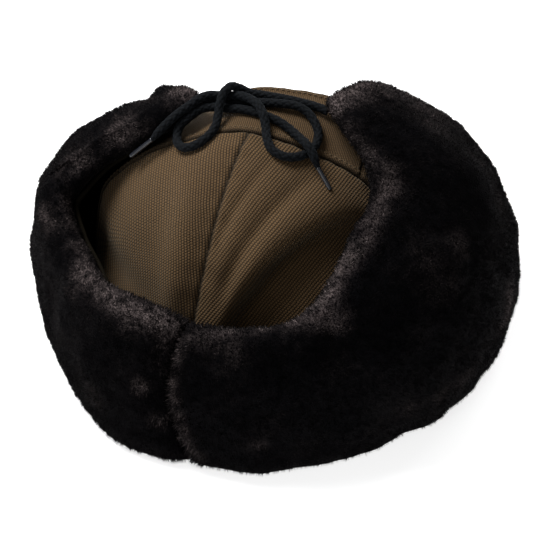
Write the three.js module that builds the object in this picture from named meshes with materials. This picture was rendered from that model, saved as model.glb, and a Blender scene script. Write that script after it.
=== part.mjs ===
// Winter trapper hat with a cloth crown and fur flaps tied up over it, in millimetres, +Z up.
// The hat rests on its rim at z = 0. The neck seam faces -Y, the peak +Y and the ears are on X.
// Angles run round the crown's axis from the neck, -Y, towards +X.
import * as THREE from "three";

// Place of the crown's axis, which puts the origin in the middle of the hat's length and width
const AXIS = { x: 0.4, y: 5.6 };

// Walls and gaps
const CLOTH = 2.2;
const FACING_CLOTH = 1.8;
const GAP = 0.3;
const FACING_GAP = 0.9;
const MITRE = 2.6;

// Fur slab: half its thickness with the pile, and the reach of its rounded edges
const FUR_HALF = 10;
const RIM_ROUND = 13;
const END_ROUND = 10;
const END_ROUND_DEPTH = 0.45;
const FOOT_ROUND = 10;
const FOOT_ROUND_DEPTH = 0.3;
const RIM_CROWDING = 1.5;
const FOOT_NORMAL_AT = 0.002;

// Opening of the crown at the rim: an ellipse with a longer half at the neck
const OPENING = { centreX: -1, halfWidth: 87, neckHalf: 93, peakHalf: 88 };
const NECK_SEAM_DEG = -17;
const PEAK_SEAM_DEG = 180;
const PANEL_ENDS = 0.975;

// Gaps between the crown pieces, as shares of a panel, of the strip's width and of a row
const PANEL_GAP = 0.004;
const STRIP_GAP = 0.018;
const TICK_GAP = 0.02;

// The ear-to-ear strip of the crown, a row for each section from the left ear to the right:
// its place across, and the depth and height of its seam on the neck side and on the peak side.
const STRIP = [
  { x: -86, neckY: -22, neckZ: 0, peakY: 22, peakZ: 0 },
  { x: -87, neckY: -18, neckZ: 32, peakY: 22, peakZ: 32 },
  { x: -85, neckY: -15, neckZ: 60, peakY: 22, peakZ: 46 },
  { x: -79.5, neckY: -14, neckZ: 77, peakY: 21, peakZ: 58 },
  { x: -60, neckY: -14, neckZ: 98, peakY: 20, peakZ: 76 },
  { x: -38, neckY: -14, neckZ: 111, peakY: 20, peakZ: 101 },
  { x: -17, neckY: -14, neckZ: 119.5, peakY: 20, peakZ: 117.1 },
  { x: 4, neckY: -14, neckZ: 118, peakY: 20, peakZ: 120 },
  { x: 24, neckY: -14, neckZ: 111, peakY: 20, peakZ: 118 },
  { x: 41, neckY: -14, neckZ: 102, peakY: 21, peakZ: 108 },
  { x: 57, neckY: -14, neckZ: 86, peakY: 22, peakZ: 88 },
  { x: 71, neckY: -16, neckZ: 63, peakY: 22, peakZ: 64 },
  { x: 79, neckY: -19, neckZ: 34, peakY: 22, peakZ: 34 },
  { x: 82, neckY: -22, neckZ: 0, peakY: 22, peakZ: 0 },
];
const STRIP_CROWN = 1;
const LEFT_TICK = 3.3;
const RIGHT_TICK = 9.05;
const NECK_SEAM_AT = 6.3;
const PEAK_SEAM_AT = 6.6;

// How full each half of the crown is: 0 is a straight slope and 0.55 a round dome
const NECK_FULLNESS = 0.5;
const PEAK_FULLNESS = 0.05;

// Creases of the neck half, as lines in plan: each sinks or lifts the cloth by its depth, over
// a width on its left side and a far width on its right side
const CREASES = [
  { name: "valley", from: [58, -24], to: [-8, -87], depth: -14, width: 6, farWidth: 19 },
  { name: "ridge", from: [38, -20], to: [-4, -70], depth: 2.5, width: 8, farWidth: 8 },
  { name: "right_band", from: [20, -24], to: [-14, -74], depth: -1.8, width: 5, farWidth: 5 },
  { name: "seam_band", from: [-11, -16], to: [-25, -80], depth: -2.5, width: 7, farWidth: 7 },
  { name: "left_fold", from: [-36, -16], to: [-34, -78], depth: 2.5, width: 8, farWidth: 8 },
];
const WAIST = { deg: -62, z: 50, depth: 5, spanDeg: 26, spanZ: 12 };

// Flap sections from the neck seam round to the temple. Each row has the angle, radius and
// height of four points on the slab's middle surface, foot, belly, shoulder and rim, and the
// half thickness on its inner side.
const RIGHT_FLAP = [
  { foot: [-8.4, 112], belly: [-13.6, 111, 34], shoulder: [-14, 107, 56], rim: [-12, 102, 74], backing: 10 },
  { foot: [3, 111], belly: [3, 112, 32], shoulder: [3, 108, 56], rim: [3, 100, 77], backing: 10 },
  { foot: [14, 108], belly: [14, 110, 32], shoulder: [14, 106, 58], rim: [13, 97, 78], backing: 10 },
  { foot: [26, 105], belly: [26, 108, 34], shoulder: [25, 103, 62], rim: [22, 90, 82], backing: 10 },
  { foot: [39, 103], belly: [39, 109, 38], shoulder: [37, 101, 72], rim: [31, 78, 89], backing: 10 },
  { foot: [52, 103], belly: [52, 111, 42], shoulder: [50, 99, 80], rim: [43, 66, 98], backing: 10 },
  { foot: [65, 104], belly: [65, 112, 44], shoulder: [62, 96, 87], rim: [57, 60, 105], backing: 8.5 },
  { foot: [77, 104], belly: [77, 111, 44], shoulder: [74, 92, 93], rim: [70, 47, 115], backing: 7.5 },
  { foot: [88, 104], belly: [88, 109, 44], shoulder: [85, 88, 99], rim: [82, 30, 124], backing: 6 },
  { foot: [99, 104], belly: [99, 107, 44], shoulder: [97, 84, 98], rim: [105, 23, 128], backing: 6 },
  { foot: [109, 103], belly: [109, 106, 42], shoulder: [108, 83, 94], rim: [123, 34, 125], backing: 6 },
  { foot: [119, 103], belly: [119, 105, 38], shoulder: [119, 85, 83], rim: [129, 54, 108], backing: 6 },
  { foot: [129, 102], belly: [129, 103, 32], shoulder: [129, 90, 66], rim: [134, 73, 83], backing: 6 },
  { foot: [139, 101], belly: [139, 101, 26], shoulder: [139, 93, 46], rim: [139, 84, 62], backing: 6 },
];
const LEFT_FLAP = [
  { foot: [-9.4, 112], belly: [-15, 111, 34], shoulder: [-15, 108, 56], rim: [-13, 102, 75], backing: 10 },
  { foot: [-20, 116], belly: [-20, 115, 32], shoulder: [-20, 111, 54], rim: [-20, 101, 77], backing: 10 },
  { foot: [-30, 115], belly: [-30, 116, 32], shoulder: [-30, 112, 54], rim: [-29, 102, 77], backing: 10 },
  { foot: [-41, 110], belly: [-41, 113, 32], shoulder: [-41, 111, 54], rim: [-41, 106, 75], backing: 10 },
  { foot: [-52, 107], belly: [-52, 110, 34], shoulder: [-52, 107, 56], rim: [-52, 103, 74], backing: 10 },
  { foot: [-62, 106], belly: [-62, 110, 36], shoulder: [-62, 108, 58], rim: [-62, 104, 77], backing: 10 },
  { foot: [-72, 105], belly: [-72, 110, 38], shoulder: [-72, 108, 62], rim: [-71, 103, 85], backing: 7.5 },
  { foot: [-78, 105], belly: [-78, 110, 40], shoulder: [-77, 105, 69], rim: [-74, 91, 94], backing: 6.5 },
  { foot: [-84, 105], belly: [-84, 110, 42], shoulder: [-82, 101, 77], rim: [-75.5, 76, 103], backing: 6 },
  { foot: [-90, 105], belly: [-90, 110, 42], shoulder: [-87, 95, 83], rim: [-76, 59, 112], backing: 6 },
  { foot: [-96, 105], belly: [-96, 109, 42], shoulder: [-93, 90, 84], rim: [-83, 44, 118], backing: 6 },
  { foot: [-103, 105], belly: [-103, 107, 40], shoulder: [-101, 85, 78], rim: [-97, 38, 119], backing: 5.5 },
  { foot: [-112, 105], belly: [-112, 106, 37], shoulder: [-111, 81, 70], rim: [-112, 47, 110], backing: 5.5 },
  { foot: [-122, 104], belly: [-122, 104, 32], shoulder: [-122, 86, 63], rim: [-124, 67, 93], backing: 5.5 },
  { foot: [-131, 103], belly: [-131, 103, 28], shoulder: [-131, 91, 56], rim: [-132, 79, 76], backing: 6 },
  { foot: [-139, 102], belly: [-139, 102, 26], shoulder: [-139, 93, 46], rim: [-139, 84, 62], backing: 6 },
];
const PEAK = [
  { foot: [144, 101], belly: [144, 100, 20], shoulder: [144, 93, 38], rim: [144, 85, 52], backing: 8 },
  { foot: [154, 101], belly: [154, 99, 21], shoulder: [154, 89, 42], rim: [154, 77, 58], backing: 8 },
  { foot: [168, 102], belly: [168, 99, 22], shoulder: [168, 86, 44], rim: [168, 71, 62], backing: 8 },
  { foot: [180, 102], belly: [180, 99, 22], shoulder: [180, 85, 44], rim: [180, 69, 63], backing: 8 },
  { foot: [192, 102], belly: [192, 99, 22], shoulder: [192, 86, 44], rim: [192, 71, 62], backing: 8 },
  { foot: [206, 101], belly: [206, 99, 21], shoulder: [206, 89, 42], rim: [206, 77, 58], backing: 8 },
  { foot: [216, 101], belly: [216, 100, 20], shoulder: [216, 93, 38], rim: [216, 85, 52], backing: 8 },
];

// Round lace and its aglets
const LACE_DIAMETER = 4;
const LACE_SIDES = 8;
const LACE_STEPS = 66;
const AGLET = { radius: 1.1, chamfer: 0.5, sides: 12 };

// Route of the left lace: out of the left ear tip, through the knot, round the right loop,
// back over the knot and down to its free end. The last point is the far end of its aglet.
const LEFT_LACE = [
  [-37.2, 5.2, 119], [-33.5, 5.2, 119], [-29, 4.6, 118.8], [-24, 4.1, 119.9], [-18, 3.9, 121.6],
  [-11.5, 4.1, 122.6], [-5, 4.2, 123.4], [2, 4.4, 123.8], [8, 4.5, 123.3], [13, 3.2, 122],
  [17.5, -0.5, 119.8], [20.4, -5.4, 117.4], [20.7, -11.4, 116], [18.4, -17.4, 115.7],
  [13.7, -22.4, 116.2], [8, -24.6, 117.4], [2.3, -23.2, 119], [-1.2, -18.4, 120.7],
  [-3.2, -12.4, 122.8], [-5.4, -7.6, 126.1], [-8.8, -3, 127.4], [-13, 0.8, 126.9], [-18.5, 3.6, 125.9],
  [-24, 4.6, 124.3], [-29.5, 4.8, 123.2], [-34, 3.7, 123.4], [-38.2, 0.4, 123], [-42, -3.8, 121.5],
  [-45.5, -7.3, 120], [-48.8, -10.7, 117.9], [-52.6, -14.2, 114.4], [-56.6, -17.4, 109.8],
];
const LEFT_AGLET_END = [-66.5, -22, 101];

// Route of the right lace: out of the right ear tip, over the knot, round the left loop,
// back under the knot and down to its free end.
const RIGHT_LACE = [
  [22.4, 6.9, 120.6], [18.3, 8.2, 121], [13.5, 8.8, 121.6], [7.5, 9.1, 122.2], [1, 9.2, 122.8],
  [-5, 9.3, 123], [-10.5, 9.4, 123.2], [-15.5, 8.8, 123.8], [-20, 8.2, 126.4], [-23.7, 5.7, 128.9],
  [-26, 1.6, 128.6], [-27, -2.6, 125.6], [-27, -7, 122.2], [-26.9, -11.4, 120.1], [-28, -16, 118.6],
  [-30.8, -20.4, 117], [-35, -23.2, 114.9], [-39.8, -22.8, 112.4], [-43.6, -19.4, 111.2],
  [-45.2, -14.8, 111.6], [-45, -10.6, 114], [-42, -7.2, 116.6], [-37.4, -2.4, 118.8], [-31.4, 0.2, 119.4],
  [-24.5, -0.5, 120.5], [-17, -1.6, 122.2], [-9.5, -3.2, 122.8], [-3.5, -4.8, 122.6],
  [2.5, -6.4, 121.6], [8, -9.2, 120.3], [13.2, -13.6, 120.2], [17.8, -18.2, 120.4],
  [21.3, -21.4, 117.3], [23.8, -23.8, 112.8],
];
const RIGHT_AGLET_END = [31.2, -29.6, 105];

// Steps of the solids: round the hat and up each section
const FLAP_STEPS = { around: 30, up: 9 };
const PEAK_STEPS = { around: 12, up: 7 };
const PANEL_STEPS = { around: 18, up: 10 };
const PEAK_PANEL_STEPS = { around: 9, up: 6 };
const SIDE_STEPS = { around: 6, up: 3 };
const TOP_STEPS = { around: 11, up: 4 };
const LENGTH_STEPS = 8;

const FINISHES = {
  cloth: new THREE.MeshStandardMaterial({ color: 0x453620, roughness: 0.85, metalness: 0 }),
  facing: new THREE.MeshStandardMaterial({ color: 0x3a3020, roughness: 0.9, metalness: 0 }),
  fur: new THREE.MeshStandardMaterial({ color: 0x181314, roughness: 1, metalness: 0 }),
  lace: new THREE.MeshStandardMaterial({ color: 0x23282c, roughness: 0.9, metalness: 0 }),
  aglet: new THREE.MeshStandardMaterial({ color: 0x14171b, roughness: 0.25, metalness: 0 }),
};

// Point at an angle from the neck, a radius from the axis and a height
function polar(deg, radius, z) {
  const angle = THREE.MathUtils.degToRad(deg);
  return new THREE.Vector3(radius * Math.sin(angle), -radius * Math.cos(angle), z);
}

// Values of a table at a place between its rows, on a smooth curve through all rows
function rowAt(rows, place) {
  const last = rows.length - 1;
  const i = Math.min(Math.floor(place), last - 1);
  const f = place - i;
  return rows[i].map((a, k) => {
    const b = rows[i + 1][k];
    const before = i > 0 ? rows[i - 1][k] : 2 * a - b;
    const after = i + 2 <= last ? rows[i + 2][k] : 2 * b - a;
    const slopeA = (b - before) / 2;
    const slopeB = (after - a) / 2;
    const bend = 2 * a - 2 * b + slopeA + slopeB;
    const turn = -3 * a + 3 * b - 2 * slopeA - slopeB;
    return ((bend * f + turn) * f + slopeA) * f + a;
  });
}

// Closed solid between equal loops of points, its two ends zipped shut
function loftSolid(loops) {
  const count = loops[0].length;
  const at = (i, k) => i * count + (k % count);
  const index = [];
  for (let i = 0; i < loops.length - 1; i++) {
    for (let k = 0; k < count; k++) {
      index.push(at(i, k), at(i + 1, k), at(i + 1, k + 1));
      index.push(at(i, k), at(i + 1, k + 1), at(i, k + 1));
    }
  }
  const end = loops.length - 1;
  for (let k = 0; k + 1 <= count - 2 - k; k++) {
    const far = count - 1 - k;
    if (k + 1 < far - 1) {
      index.push(at(0, k), at(0, k + 1), at(0, far - 1));
      index.push(at(end, k), at(end, far - 1), at(end, k + 1));
    }
    index.push(at(0, k), at(0, far - 1), at(0, far));
    index.push(at(end, k), at(end, far), at(end, far - 1));
  }
  const points = loops.flat().flatMap((p) => [p.x, p.y, p.z]);
  const geometry = new THREE.BufferGeometry();
  geometry.setAttribute("position", new THREE.Float32BufferAttribute(points, 3));
  geometry.setIndex(index);
  geometry.computeVertexNormals();
  return geometry;
}

// Outward normal of a surface given as a function of two places
function normalAt(surface, u, v) {
  const step = 1e-3;
  const along = surface(u + step, v).sub(surface(u - step, v));
  const up = surface(u, v + step).sub(surface(u, v - step));
  return along.cross(up).normalize();
}

// Length of a surface's line from its foot to its head
function lineLength(surface, u, spanV) {
  let length = 0;
  for (let j = 1; j <= LENGTH_STEPS; j++) {
    const from = THREE.MathUtils.lerp(spanV[0], spanV[1], (j - 1) / LENGTH_STEPS);
    const to = THREE.MathUtils.lerp(spanV[0], spanV[1], j / LENGTH_STEPS);
    length += surface(u, to).distanceTo(surface(u, from));
  }
  return length;
}

// Wall under a surface: its outer face is the surface and its inner face lies a cloth inside.
// The inner face is narrower by the mitre at its foot and its head, clear of the next piece.
function clothSolid(surface, spanU, spanV, steps, mitre) {
  const loops = [];
  for (let i = 0; i <= steps.around; i++) {
    const u = THREE.MathUtils.lerp(spanU[0], spanU[1], i / steps.around);
    const perLength = (spanV[1] - spanV[0]) / lineLength(surface, u, spanV);
    const innerSpan = [spanV[0] + mitre[0] * perLength, spanV[1] - mitre[1] * perLength];
    const outer = [];
    const inner = [];
    for (let j = 0; j <= steps.up; j++) {
      outer.push(surface(u, THREE.MathUtils.lerp(spanV[0], spanV[1], j / steps.up)));
      const v = THREE.MathUtils.lerp(innerSpan[0], innerSpan[1], j / steps.up);
      inner.unshift(surface(u, v).addScaledVector(normalAt(surface, u, v), -CLOTH));
    }
    for (const point of [...outer, ...inner]) {
      point.z = Math.max(point.z, 0);
    }
    loops.push([...outer, ...inner]);
  }
  return loftSolid(loops);
}

// Seam of the strip on the neck side or the peak side
function stripSeam(side, place) {
  const rows = STRIP.map((row) => [row.x, row[side + "Y"], row[side + "Z"]]);
  return new THREE.Vector3(...rowAt(rows, place));
}

// Point of the strip: straight across between its seams, and slightly crowned
function stripPoint(place, across) {
  const neck = stripSeam("neck", place);
  const peak = stripSeam("peak", place);
  const ahead = stripSeam("neck", Math.min(place + 0.05, STRIP.length - 1));
  const behind = stripSeam("neck", Math.max(place - 0.05, 0));
  const along = ahead.sub(behind);
  const outward = new THREE.Vector3(-along.z, 0, along.x).normalize();
  const lift = STRIP_CROWN * Math.sin(Math.PI * across) * Math.sin((Math.PI * place) / (STRIP.length - 1));
  return neck.lerp(peak, across).addScaledVector(outward, lift);
}

// Edge of the opening at an angle: an ellipse with its own half length at each end
function openingPoint(deg) {
  const angle = THREE.MathUtils.degToRad(deg);
  const back = Math.cos(angle) > 0;
  const halfLength = back ? OPENING.neckHalf : OPENING.peakHalf;
  return new THREE.Vector3(
    OPENING.centreX + OPENING.halfWidth * Math.sin(angle),
    -halfLength * Math.cos(angle),
    0,
  );
}

// Lift of the neck half at a point in plan, from all its creases
function creaseLift(point) {
  let lift = 0;
  for (const crease of CREASES) {
    const from = new THREE.Vector2(...crease.from);
    const line = new THREE.Vector2(...crease.to).sub(from);
    const offset = new THREE.Vector2(point.x, point.y).sub(from);
    const along = offset.dot(line) / line.lengthSq();
    const aside = offset.cross(line) / line.length();
    const starts = THREE.MathUtils.smoothstep(along, -0.15, 0.2);
    const ends = THREE.MathUtils.smoothstep(1.15 - along, 0, 0.3);
    const width = aside < 0 ? crease.farWidth : crease.width;
    lift += crease.depth * starts * ends * Math.exp(-((aside / width) ** 2));
  }
  const deg = THREE.MathUtils.radToDeg(Math.atan2(point.x, -point.y));
  const around = (deg - WAIST.deg) / WAIST.spanDeg;
  const high = (point.z - WAIST.z) / WAIST.spanZ;
  return lift - WAIST.depth * Math.exp(-around * around - high * high);
}

// Half of the crown between the opening and the strip. Place runs round from one end of the
// strip, -1, over the centre seam, 0, to its other end, 1, and v runs from the opening up.
function crownHalf(side) {
  const neck = side === "neck";
  const last = STRIP.length - 1;
  const ends = neck ? [0, last] : [last, 0];
  const seamAt = neck ? NECK_SEAM_AT : PEAK_SEAM_AT;
  const seamDeg = neck ? NECK_SEAM_DEG : PEAK_SEAM_DEG;
  const cornerDeg = [-1, 1].map((k) => (neck ? 76 * k : 180 + 76 * k));
  const fullness = neck ? NECK_FULLNESS : PEAK_FULLNESS;
  return (place, v) => {
    const k = place < 0 ? 0 : 1;
    const share = Math.abs(place);
    const deg = THREE.MathUtils.lerp(seamDeg, cornerDeg[k], share);
    const bottom = openingPoint(deg);
    const top = stripSeam(side, THREE.MathUtils.lerp(seamAt, ends[k], share));
    const low = bottom.clone();
    low.z += fullness * (top.z - bottom.z);
    const high = top.clone();
    high.x += fullness * (bottom.x - top.x);
    high.y += fullness * (bottom.y - top.y);
    const point = new THREE.CubicBezierCurve3(bottom, low, high, top).getPoint(v);
    if (neck) {
      const fade = Math.sin(Math.PI * Math.min(v * 1.1, 1) ** 0.8) ** 0.6 * (1 - share ** 6);
      const lift = creaseLift(point) * (v > 0 && v < 1 ? fade : 0);
      const outward = new THREE.Vector3(point.x, point.y, 60 * v).normalize();
      point.addScaledVector(outward, lift);
    }
    return point;
  };
}

// Middle surface of a fur slab from its table of sections
function slabMiddle(rows) {
  const flat = rows.map((row) => [...row.foot, ...row.belly, ...row.shoulder, ...row.rim]);
  return (place, v) => {
    const q = rowAt(flat, THREE.MathUtils.clamp(place, 0, rows.length - 1));
    const points = [
      polar(q[0], q[1], 0),
      polar(q[2], q[3], q[4]),
      polar(q[5], q[6], q[7]),
      polar(q[8], q[9], q[10]),
    ];
    const curve = new THREE.CatmullRomCurve3(points, false, "centripetal");
    if (v > 1) {
      const end = curve.getPoint(1);
      return end.add(end.clone().sub(curve.getPoint(2 - v)));
    }
    return curve.getPoint(Math.max(v, 0));
  };
}

// Quarter-circle easing: 0 at an edge and 1 past the reach of its rounding
function rounding(distance, reach) {
  const share = Math.min(distance / reach, 1);
  return Math.sqrt(Math.max(1 - (1 - share) ** 2, 0));
}

// Points of one section of a slab from its foot to near its rim, closer towards the rim
function sectionPoints(slab, place, up) {
  const last = slab.rows.length - 1;
  const rim = slab.middle(place, 1);
  const backing = rowAt(slab.rows.map((row) => [row.backing]), place)[0];
  const points = [];
  for (let j = 0; j < up; j++) {
    const v = 1 - (1 - j / up) ** RIM_CROWDING;
    const point = slab.middle(place, v);
    const round = rounding(point.distanceTo(rim), RIM_ROUND);
    const toEnd = Math.min(point.distanceTo(slab.middle(0, v)), point.distanceTo(slab.middle(last, v)));
    const endRound = 1 - END_ROUND_DEPTH * (1 - rounding(toEnd, END_ROUND));
    const footRound = 1 - FOOT_ROUND_DEPTH * (1 - rounding(point.z, FOOT_ROUND));
    const normal = normalAt(slab.middle, place, Math.max(v, FOOT_NORMAL_AT));
    points.push({ point, normal, outward: FUR_HALF * round * endRound * footRound, inward: backing * round });
  }
  return { points, rim };
}

// Fur slab: a rounded rim, outer corners rounded at its foot and its two ends, a flat foot
function furSolid(slab, steps) {
  const loops = [];
  for (let i = 0; i <= steps.around; i++) {
    const place = ((slab.rows.length - 1) * i) / steps.around;
    const { points, rim } = sectionPoints(slab, place, steps.up);
    const outer = points.map((at) => at.point.clone().addScaledVector(at.normal, at.outward));
    const inner = points.map((at) => at.point.clone().addScaledVector(at.normal, -at.inward)).reverse();
    for (const point of [...outer, ...inner]) {
      point.z = Math.max(point.z, 0);
    }
    outer[0].z = 0;
    inner.at(-1).z = 0;
    loops.push([...outer, rim, ...inner]);
  }
  return loftSolid(loops);
}

// Cloth facing over the inner side of a fur slab, well short of its rim and short of its ends
function facingSolid(slab, steps) {
  const loops = [];
  for (let i = 1; i < steps.around; i++) {
    const place = ((slab.rows.length - 1) * i) / steps.around;
    const points = sectionPoints(slab, place, steps.up).points.slice(0, -1);
    const inset = (at, depth) => at.point.clone().addScaledVector(at.normal, -at.inward - depth);
    const outer = points.map((at) => inset(at, FACING_GAP));
    const inner = points.map((at) => inset(at, FACING_GAP + FACING_CLOTH));
    for (const point of [...outer, ...inner]) {
      point.z = Math.max(point.z, GAP);
    }
    outer[0].z = GAP;
    inner[0].z = GAP;
    loops.push([...outer, ...inner.reverse()]);
  }
  return loftSolid(loops);
}

// Round lace along its route
function laceSolid(route) {
  const path = new THREE.CatmullRomCurve3(route.map((p) => new THREE.Vector3(...p)), false, "centripetal");
  const section = [];
  for (let i = 0; i < LACE_SIDES; i++) {
    const angle = (2 * Math.PI * i) / LACE_SIDES;
    section.push(new THREE.Vector2(Math.cos(angle), Math.sin(angle)).multiplyScalar(LACE_DIAMETER / 2));
  }
  const shape = new THREE.Shape(section);
  return new THREE.ExtrudeGeometry(shape, { steps: LACE_STEPS, bevelEnabled: false, extrudePath: path });
}

// Aglet from a lace's end to its own far end, with a chamfered tip
function agletSolid(laceEnd, farEnd) {
  const from = new THREE.Vector3(...laceEnd);
  const along = new THREE.Vector3(...farEnd).sub(from);
  const length = along.length();
  along.normalize();
  const profile = [
    new THREE.Vector2(0, GAP),
    new THREE.Vector2(AGLET.radius, GAP),
    new THREE.Vector2(AGLET.radius, length - AGLET.chamfer),
    new THREE.Vector2(AGLET.radius - AGLET.chamfer, length),
    new THREE.Vector2(0, length),
  ];
  const geometry = new THREE.LatheGeometry(profile, AGLET.sides);
  geometry.applyQuaternion(new THREE.Quaternion().setFromUnitVectors(new THREE.Vector3(0, 1, 0), along));
  geometry.translate(from.x, from.y, from.z);
  return geometry;
}

const hat = new THREE.Group();

function addPiece(name, geometry, finish) {
  geometry.translate(AXIS.x, AXIS.y, 0);
  const mesh = new THREE.Mesh(geometry, finish);
  mesh.name = name;
  hat.add(mesh);
}

const neckHalf = crownHalf("neck");
const peakHalf = crownHalf("peak");
const upPanel = [0, 1 - PANEL_GAP];
const PANELS = [
  { name: "crown_neck_left", half: neckHalf, span: [-PANEL_ENDS, -PANEL_GAP / 2], steps: PANEL_STEPS },
  { name: "crown_neck_right", half: neckHalf, span: [PANEL_GAP / 2, PANEL_ENDS], steps: PANEL_STEPS },
  { name: "crown_peak_right", half: peakHalf, span: [-PANEL_ENDS, -PANEL_GAP / 2], steps: PEAK_PANEL_STEPS },
  { name: "crown_peak_left", half: peakHalf, span: [PANEL_GAP / 2, PANEL_ENDS], steps: PEAK_PANEL_STEPS },
];
for (const { name, half, span, steps } of PANELS) {
  addPiece(name, clothSolid(half, span, upPanel, steps, [0, MITRE]), FINISHES.cloth);
}

const acrossStrip = [STRIP_GAP / 2, 1 - STRIP_GAP / 2];
const STRIP_LENGTHS = [
  { name: "crown_side_left", span: [0, LEFT_TICK], steps: SIDE_STEPS },
  { name: "crown_top", span: [LEFT_TICK, RIGHT_TICK], steps: TOP_STEPS },
  { name: "crown_side_right", span: [RIGHT_TICK, STRIP.length - 1], steps: SIDE_STEPS },
];
for (const { name, span, steps } of STRIP_LENGTHS) {
  const length = [span[0] + TICK_GAP / 2, span[1] - TICK_GAP / 2];
  addPiece(name, clothSolid(stripPoint, length, acrossStrip, steps, [MITRE, MITRE]), FINISHES.cloth);
}

const SLABS = [
  { name: "flap_right", rows: RIGHT_FLAP, steps: FLAP_STEPS },
  { name: "flap_left", rows: LEFT_FLAP.toReversed(), steps: FLAP_STEPS },
  { name: "front_peak", rows: PEAK, steps: PEAK_STEPS },
];
for (const { name, rows, steps } of SLABS) {
  const slab = { rows, middle: slabMiddle(rows) };
  addPiece(name, furSolid(slab, steps), FINISHES.fur);
  addPiece(name + "_facing", facingSolid(slab, steps), FINISHES.facing);
}

addPiece("lace_left", laceSolid(LEFT_LACE), FINISHES.lace);
addPiece("lace_right", laceSolid(RIGHT_LACE), FINISHES.lace);
addPiece("aglet_left", agletSolid(LEFT_LACE.at(-1), LEFT_AGLET_END), FINISHES.aglet);
addPiece("aglet_right", agletSolid(RIGHT_LACE.at(-1), RIGHT_AGLET_END), FINISHES.aglet);

export default hat;
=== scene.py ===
"""Winter trapper hat: cloth crown, fur flaps tied up over it with a round lace, and its plain studio.

The tables are in millimetres, in the same frame as the part before its axis is put in place.
Angles run round the crown's axis from the neck, -Y, towards +X.
"""

import logging
import math
from dataclasses import dataclass, field
from enum import Enum
from typing import Callable

import bpy
import numpy as np
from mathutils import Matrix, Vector

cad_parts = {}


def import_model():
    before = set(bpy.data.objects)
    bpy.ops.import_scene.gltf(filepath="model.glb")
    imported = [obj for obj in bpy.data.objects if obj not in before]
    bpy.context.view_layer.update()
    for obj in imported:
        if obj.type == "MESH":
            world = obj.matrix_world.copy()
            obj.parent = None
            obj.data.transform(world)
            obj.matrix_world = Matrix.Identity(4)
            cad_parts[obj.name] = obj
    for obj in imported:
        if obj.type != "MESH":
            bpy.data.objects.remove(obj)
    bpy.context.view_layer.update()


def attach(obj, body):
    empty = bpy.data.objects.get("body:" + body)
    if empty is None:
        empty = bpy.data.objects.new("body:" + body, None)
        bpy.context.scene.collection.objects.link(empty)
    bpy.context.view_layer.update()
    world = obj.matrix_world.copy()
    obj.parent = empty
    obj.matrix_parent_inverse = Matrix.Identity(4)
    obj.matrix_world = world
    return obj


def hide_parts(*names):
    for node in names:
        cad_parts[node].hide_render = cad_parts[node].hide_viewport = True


log = logging.getLogger("hat")

MM = 0.001
AXIS_MM = np.array([0.4, 5.6, 0.0])
FLOOR_CLEARANCE_MM = 0.15
SEED = 11
SLOPE_STEP = 1e-3

Array = np.ndarray
Surface = Callable[[Array, Array], Array]

# Ear-to-ear strip of the crown: place across, then depth and height of its two seams
STRIP_ROWS = np.array([
    # x, neck y, neck z, peak y, peak z
    [-86, -22, 0, 22, 0],
    [-87, -18, 32, 22, 32],
    [-85, -15, 60, 22, 46],
    [-79.5, -14, 77, 21, 58],
    [-60, -14, 98, 20, 76],
    [-38, -14, 111, 20, 101],
    [-17, -14, 119.5, 20, 117.1],
    [4, -14, 118, 20, 120],
    [24, -14, 111, 20, 118],
    [41, -14, 102, 21, 108],
    [57, -14, 86, 22, 88],
    [71, -16, 63, 22, 64],
    [79, -19, 34, 22, 34],
    [82, -22, 0, 22, 0],
], dtype=float)

# Flap sections: foot (deg, r), belly, shoulder and rim (deg, r, z), and inner half thickness
RIGHT_FLAP_ROWS = np.array([
    [-8.4, 112, -13.6, 111, 34, -14, 107, 56, -12, 102, 74, 10],
    [3, 111, 3, 112, 32, 3, 108, 56, 3, 100, 77, 10],
    [14, 108, 14, 110, 32, 14, 106, 58, 13, 97, 78, 10],
    [26, 105, 26, 108, 34, 25, 103, 62, 22, 90, 82, 10],
    [39, 103, 39, 109, 38, 37, 101, 72, 31, 78, 89, 10],
    [52, 103, 52, 111, 42, 50, 99, 80, 43, 66, 98, 10],
    [65, 104, 65, 112, 44, 62, 96, 87, 57, 60, 105, 8.5],
    [77, 104, 77, 111, 44, 74, 92, 93, 70, 47, 115, 7.5],
    [88, 104, 88, 109, 44, 85, 88, 99, 82, 30, 124, 6],
    [99, 104, 99, 107, 44, 97, 84, 98, 105, 23, 128, 6],
    [109, 103, 109, 106, 42, 108, 83, 94, 123, 34, 125, 6],
    [119, 103, 119, 105, 38, 119, 85, 83, 129, 54, 108, 6],
    [129, 102, 129, 103, 32, 129, 90, 66, 134, 73, 83, 6],
    [139, 101, 139, 101, 26, 139, 93, 46, 139, 84, 62, 6],
], dtype=float)
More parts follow.
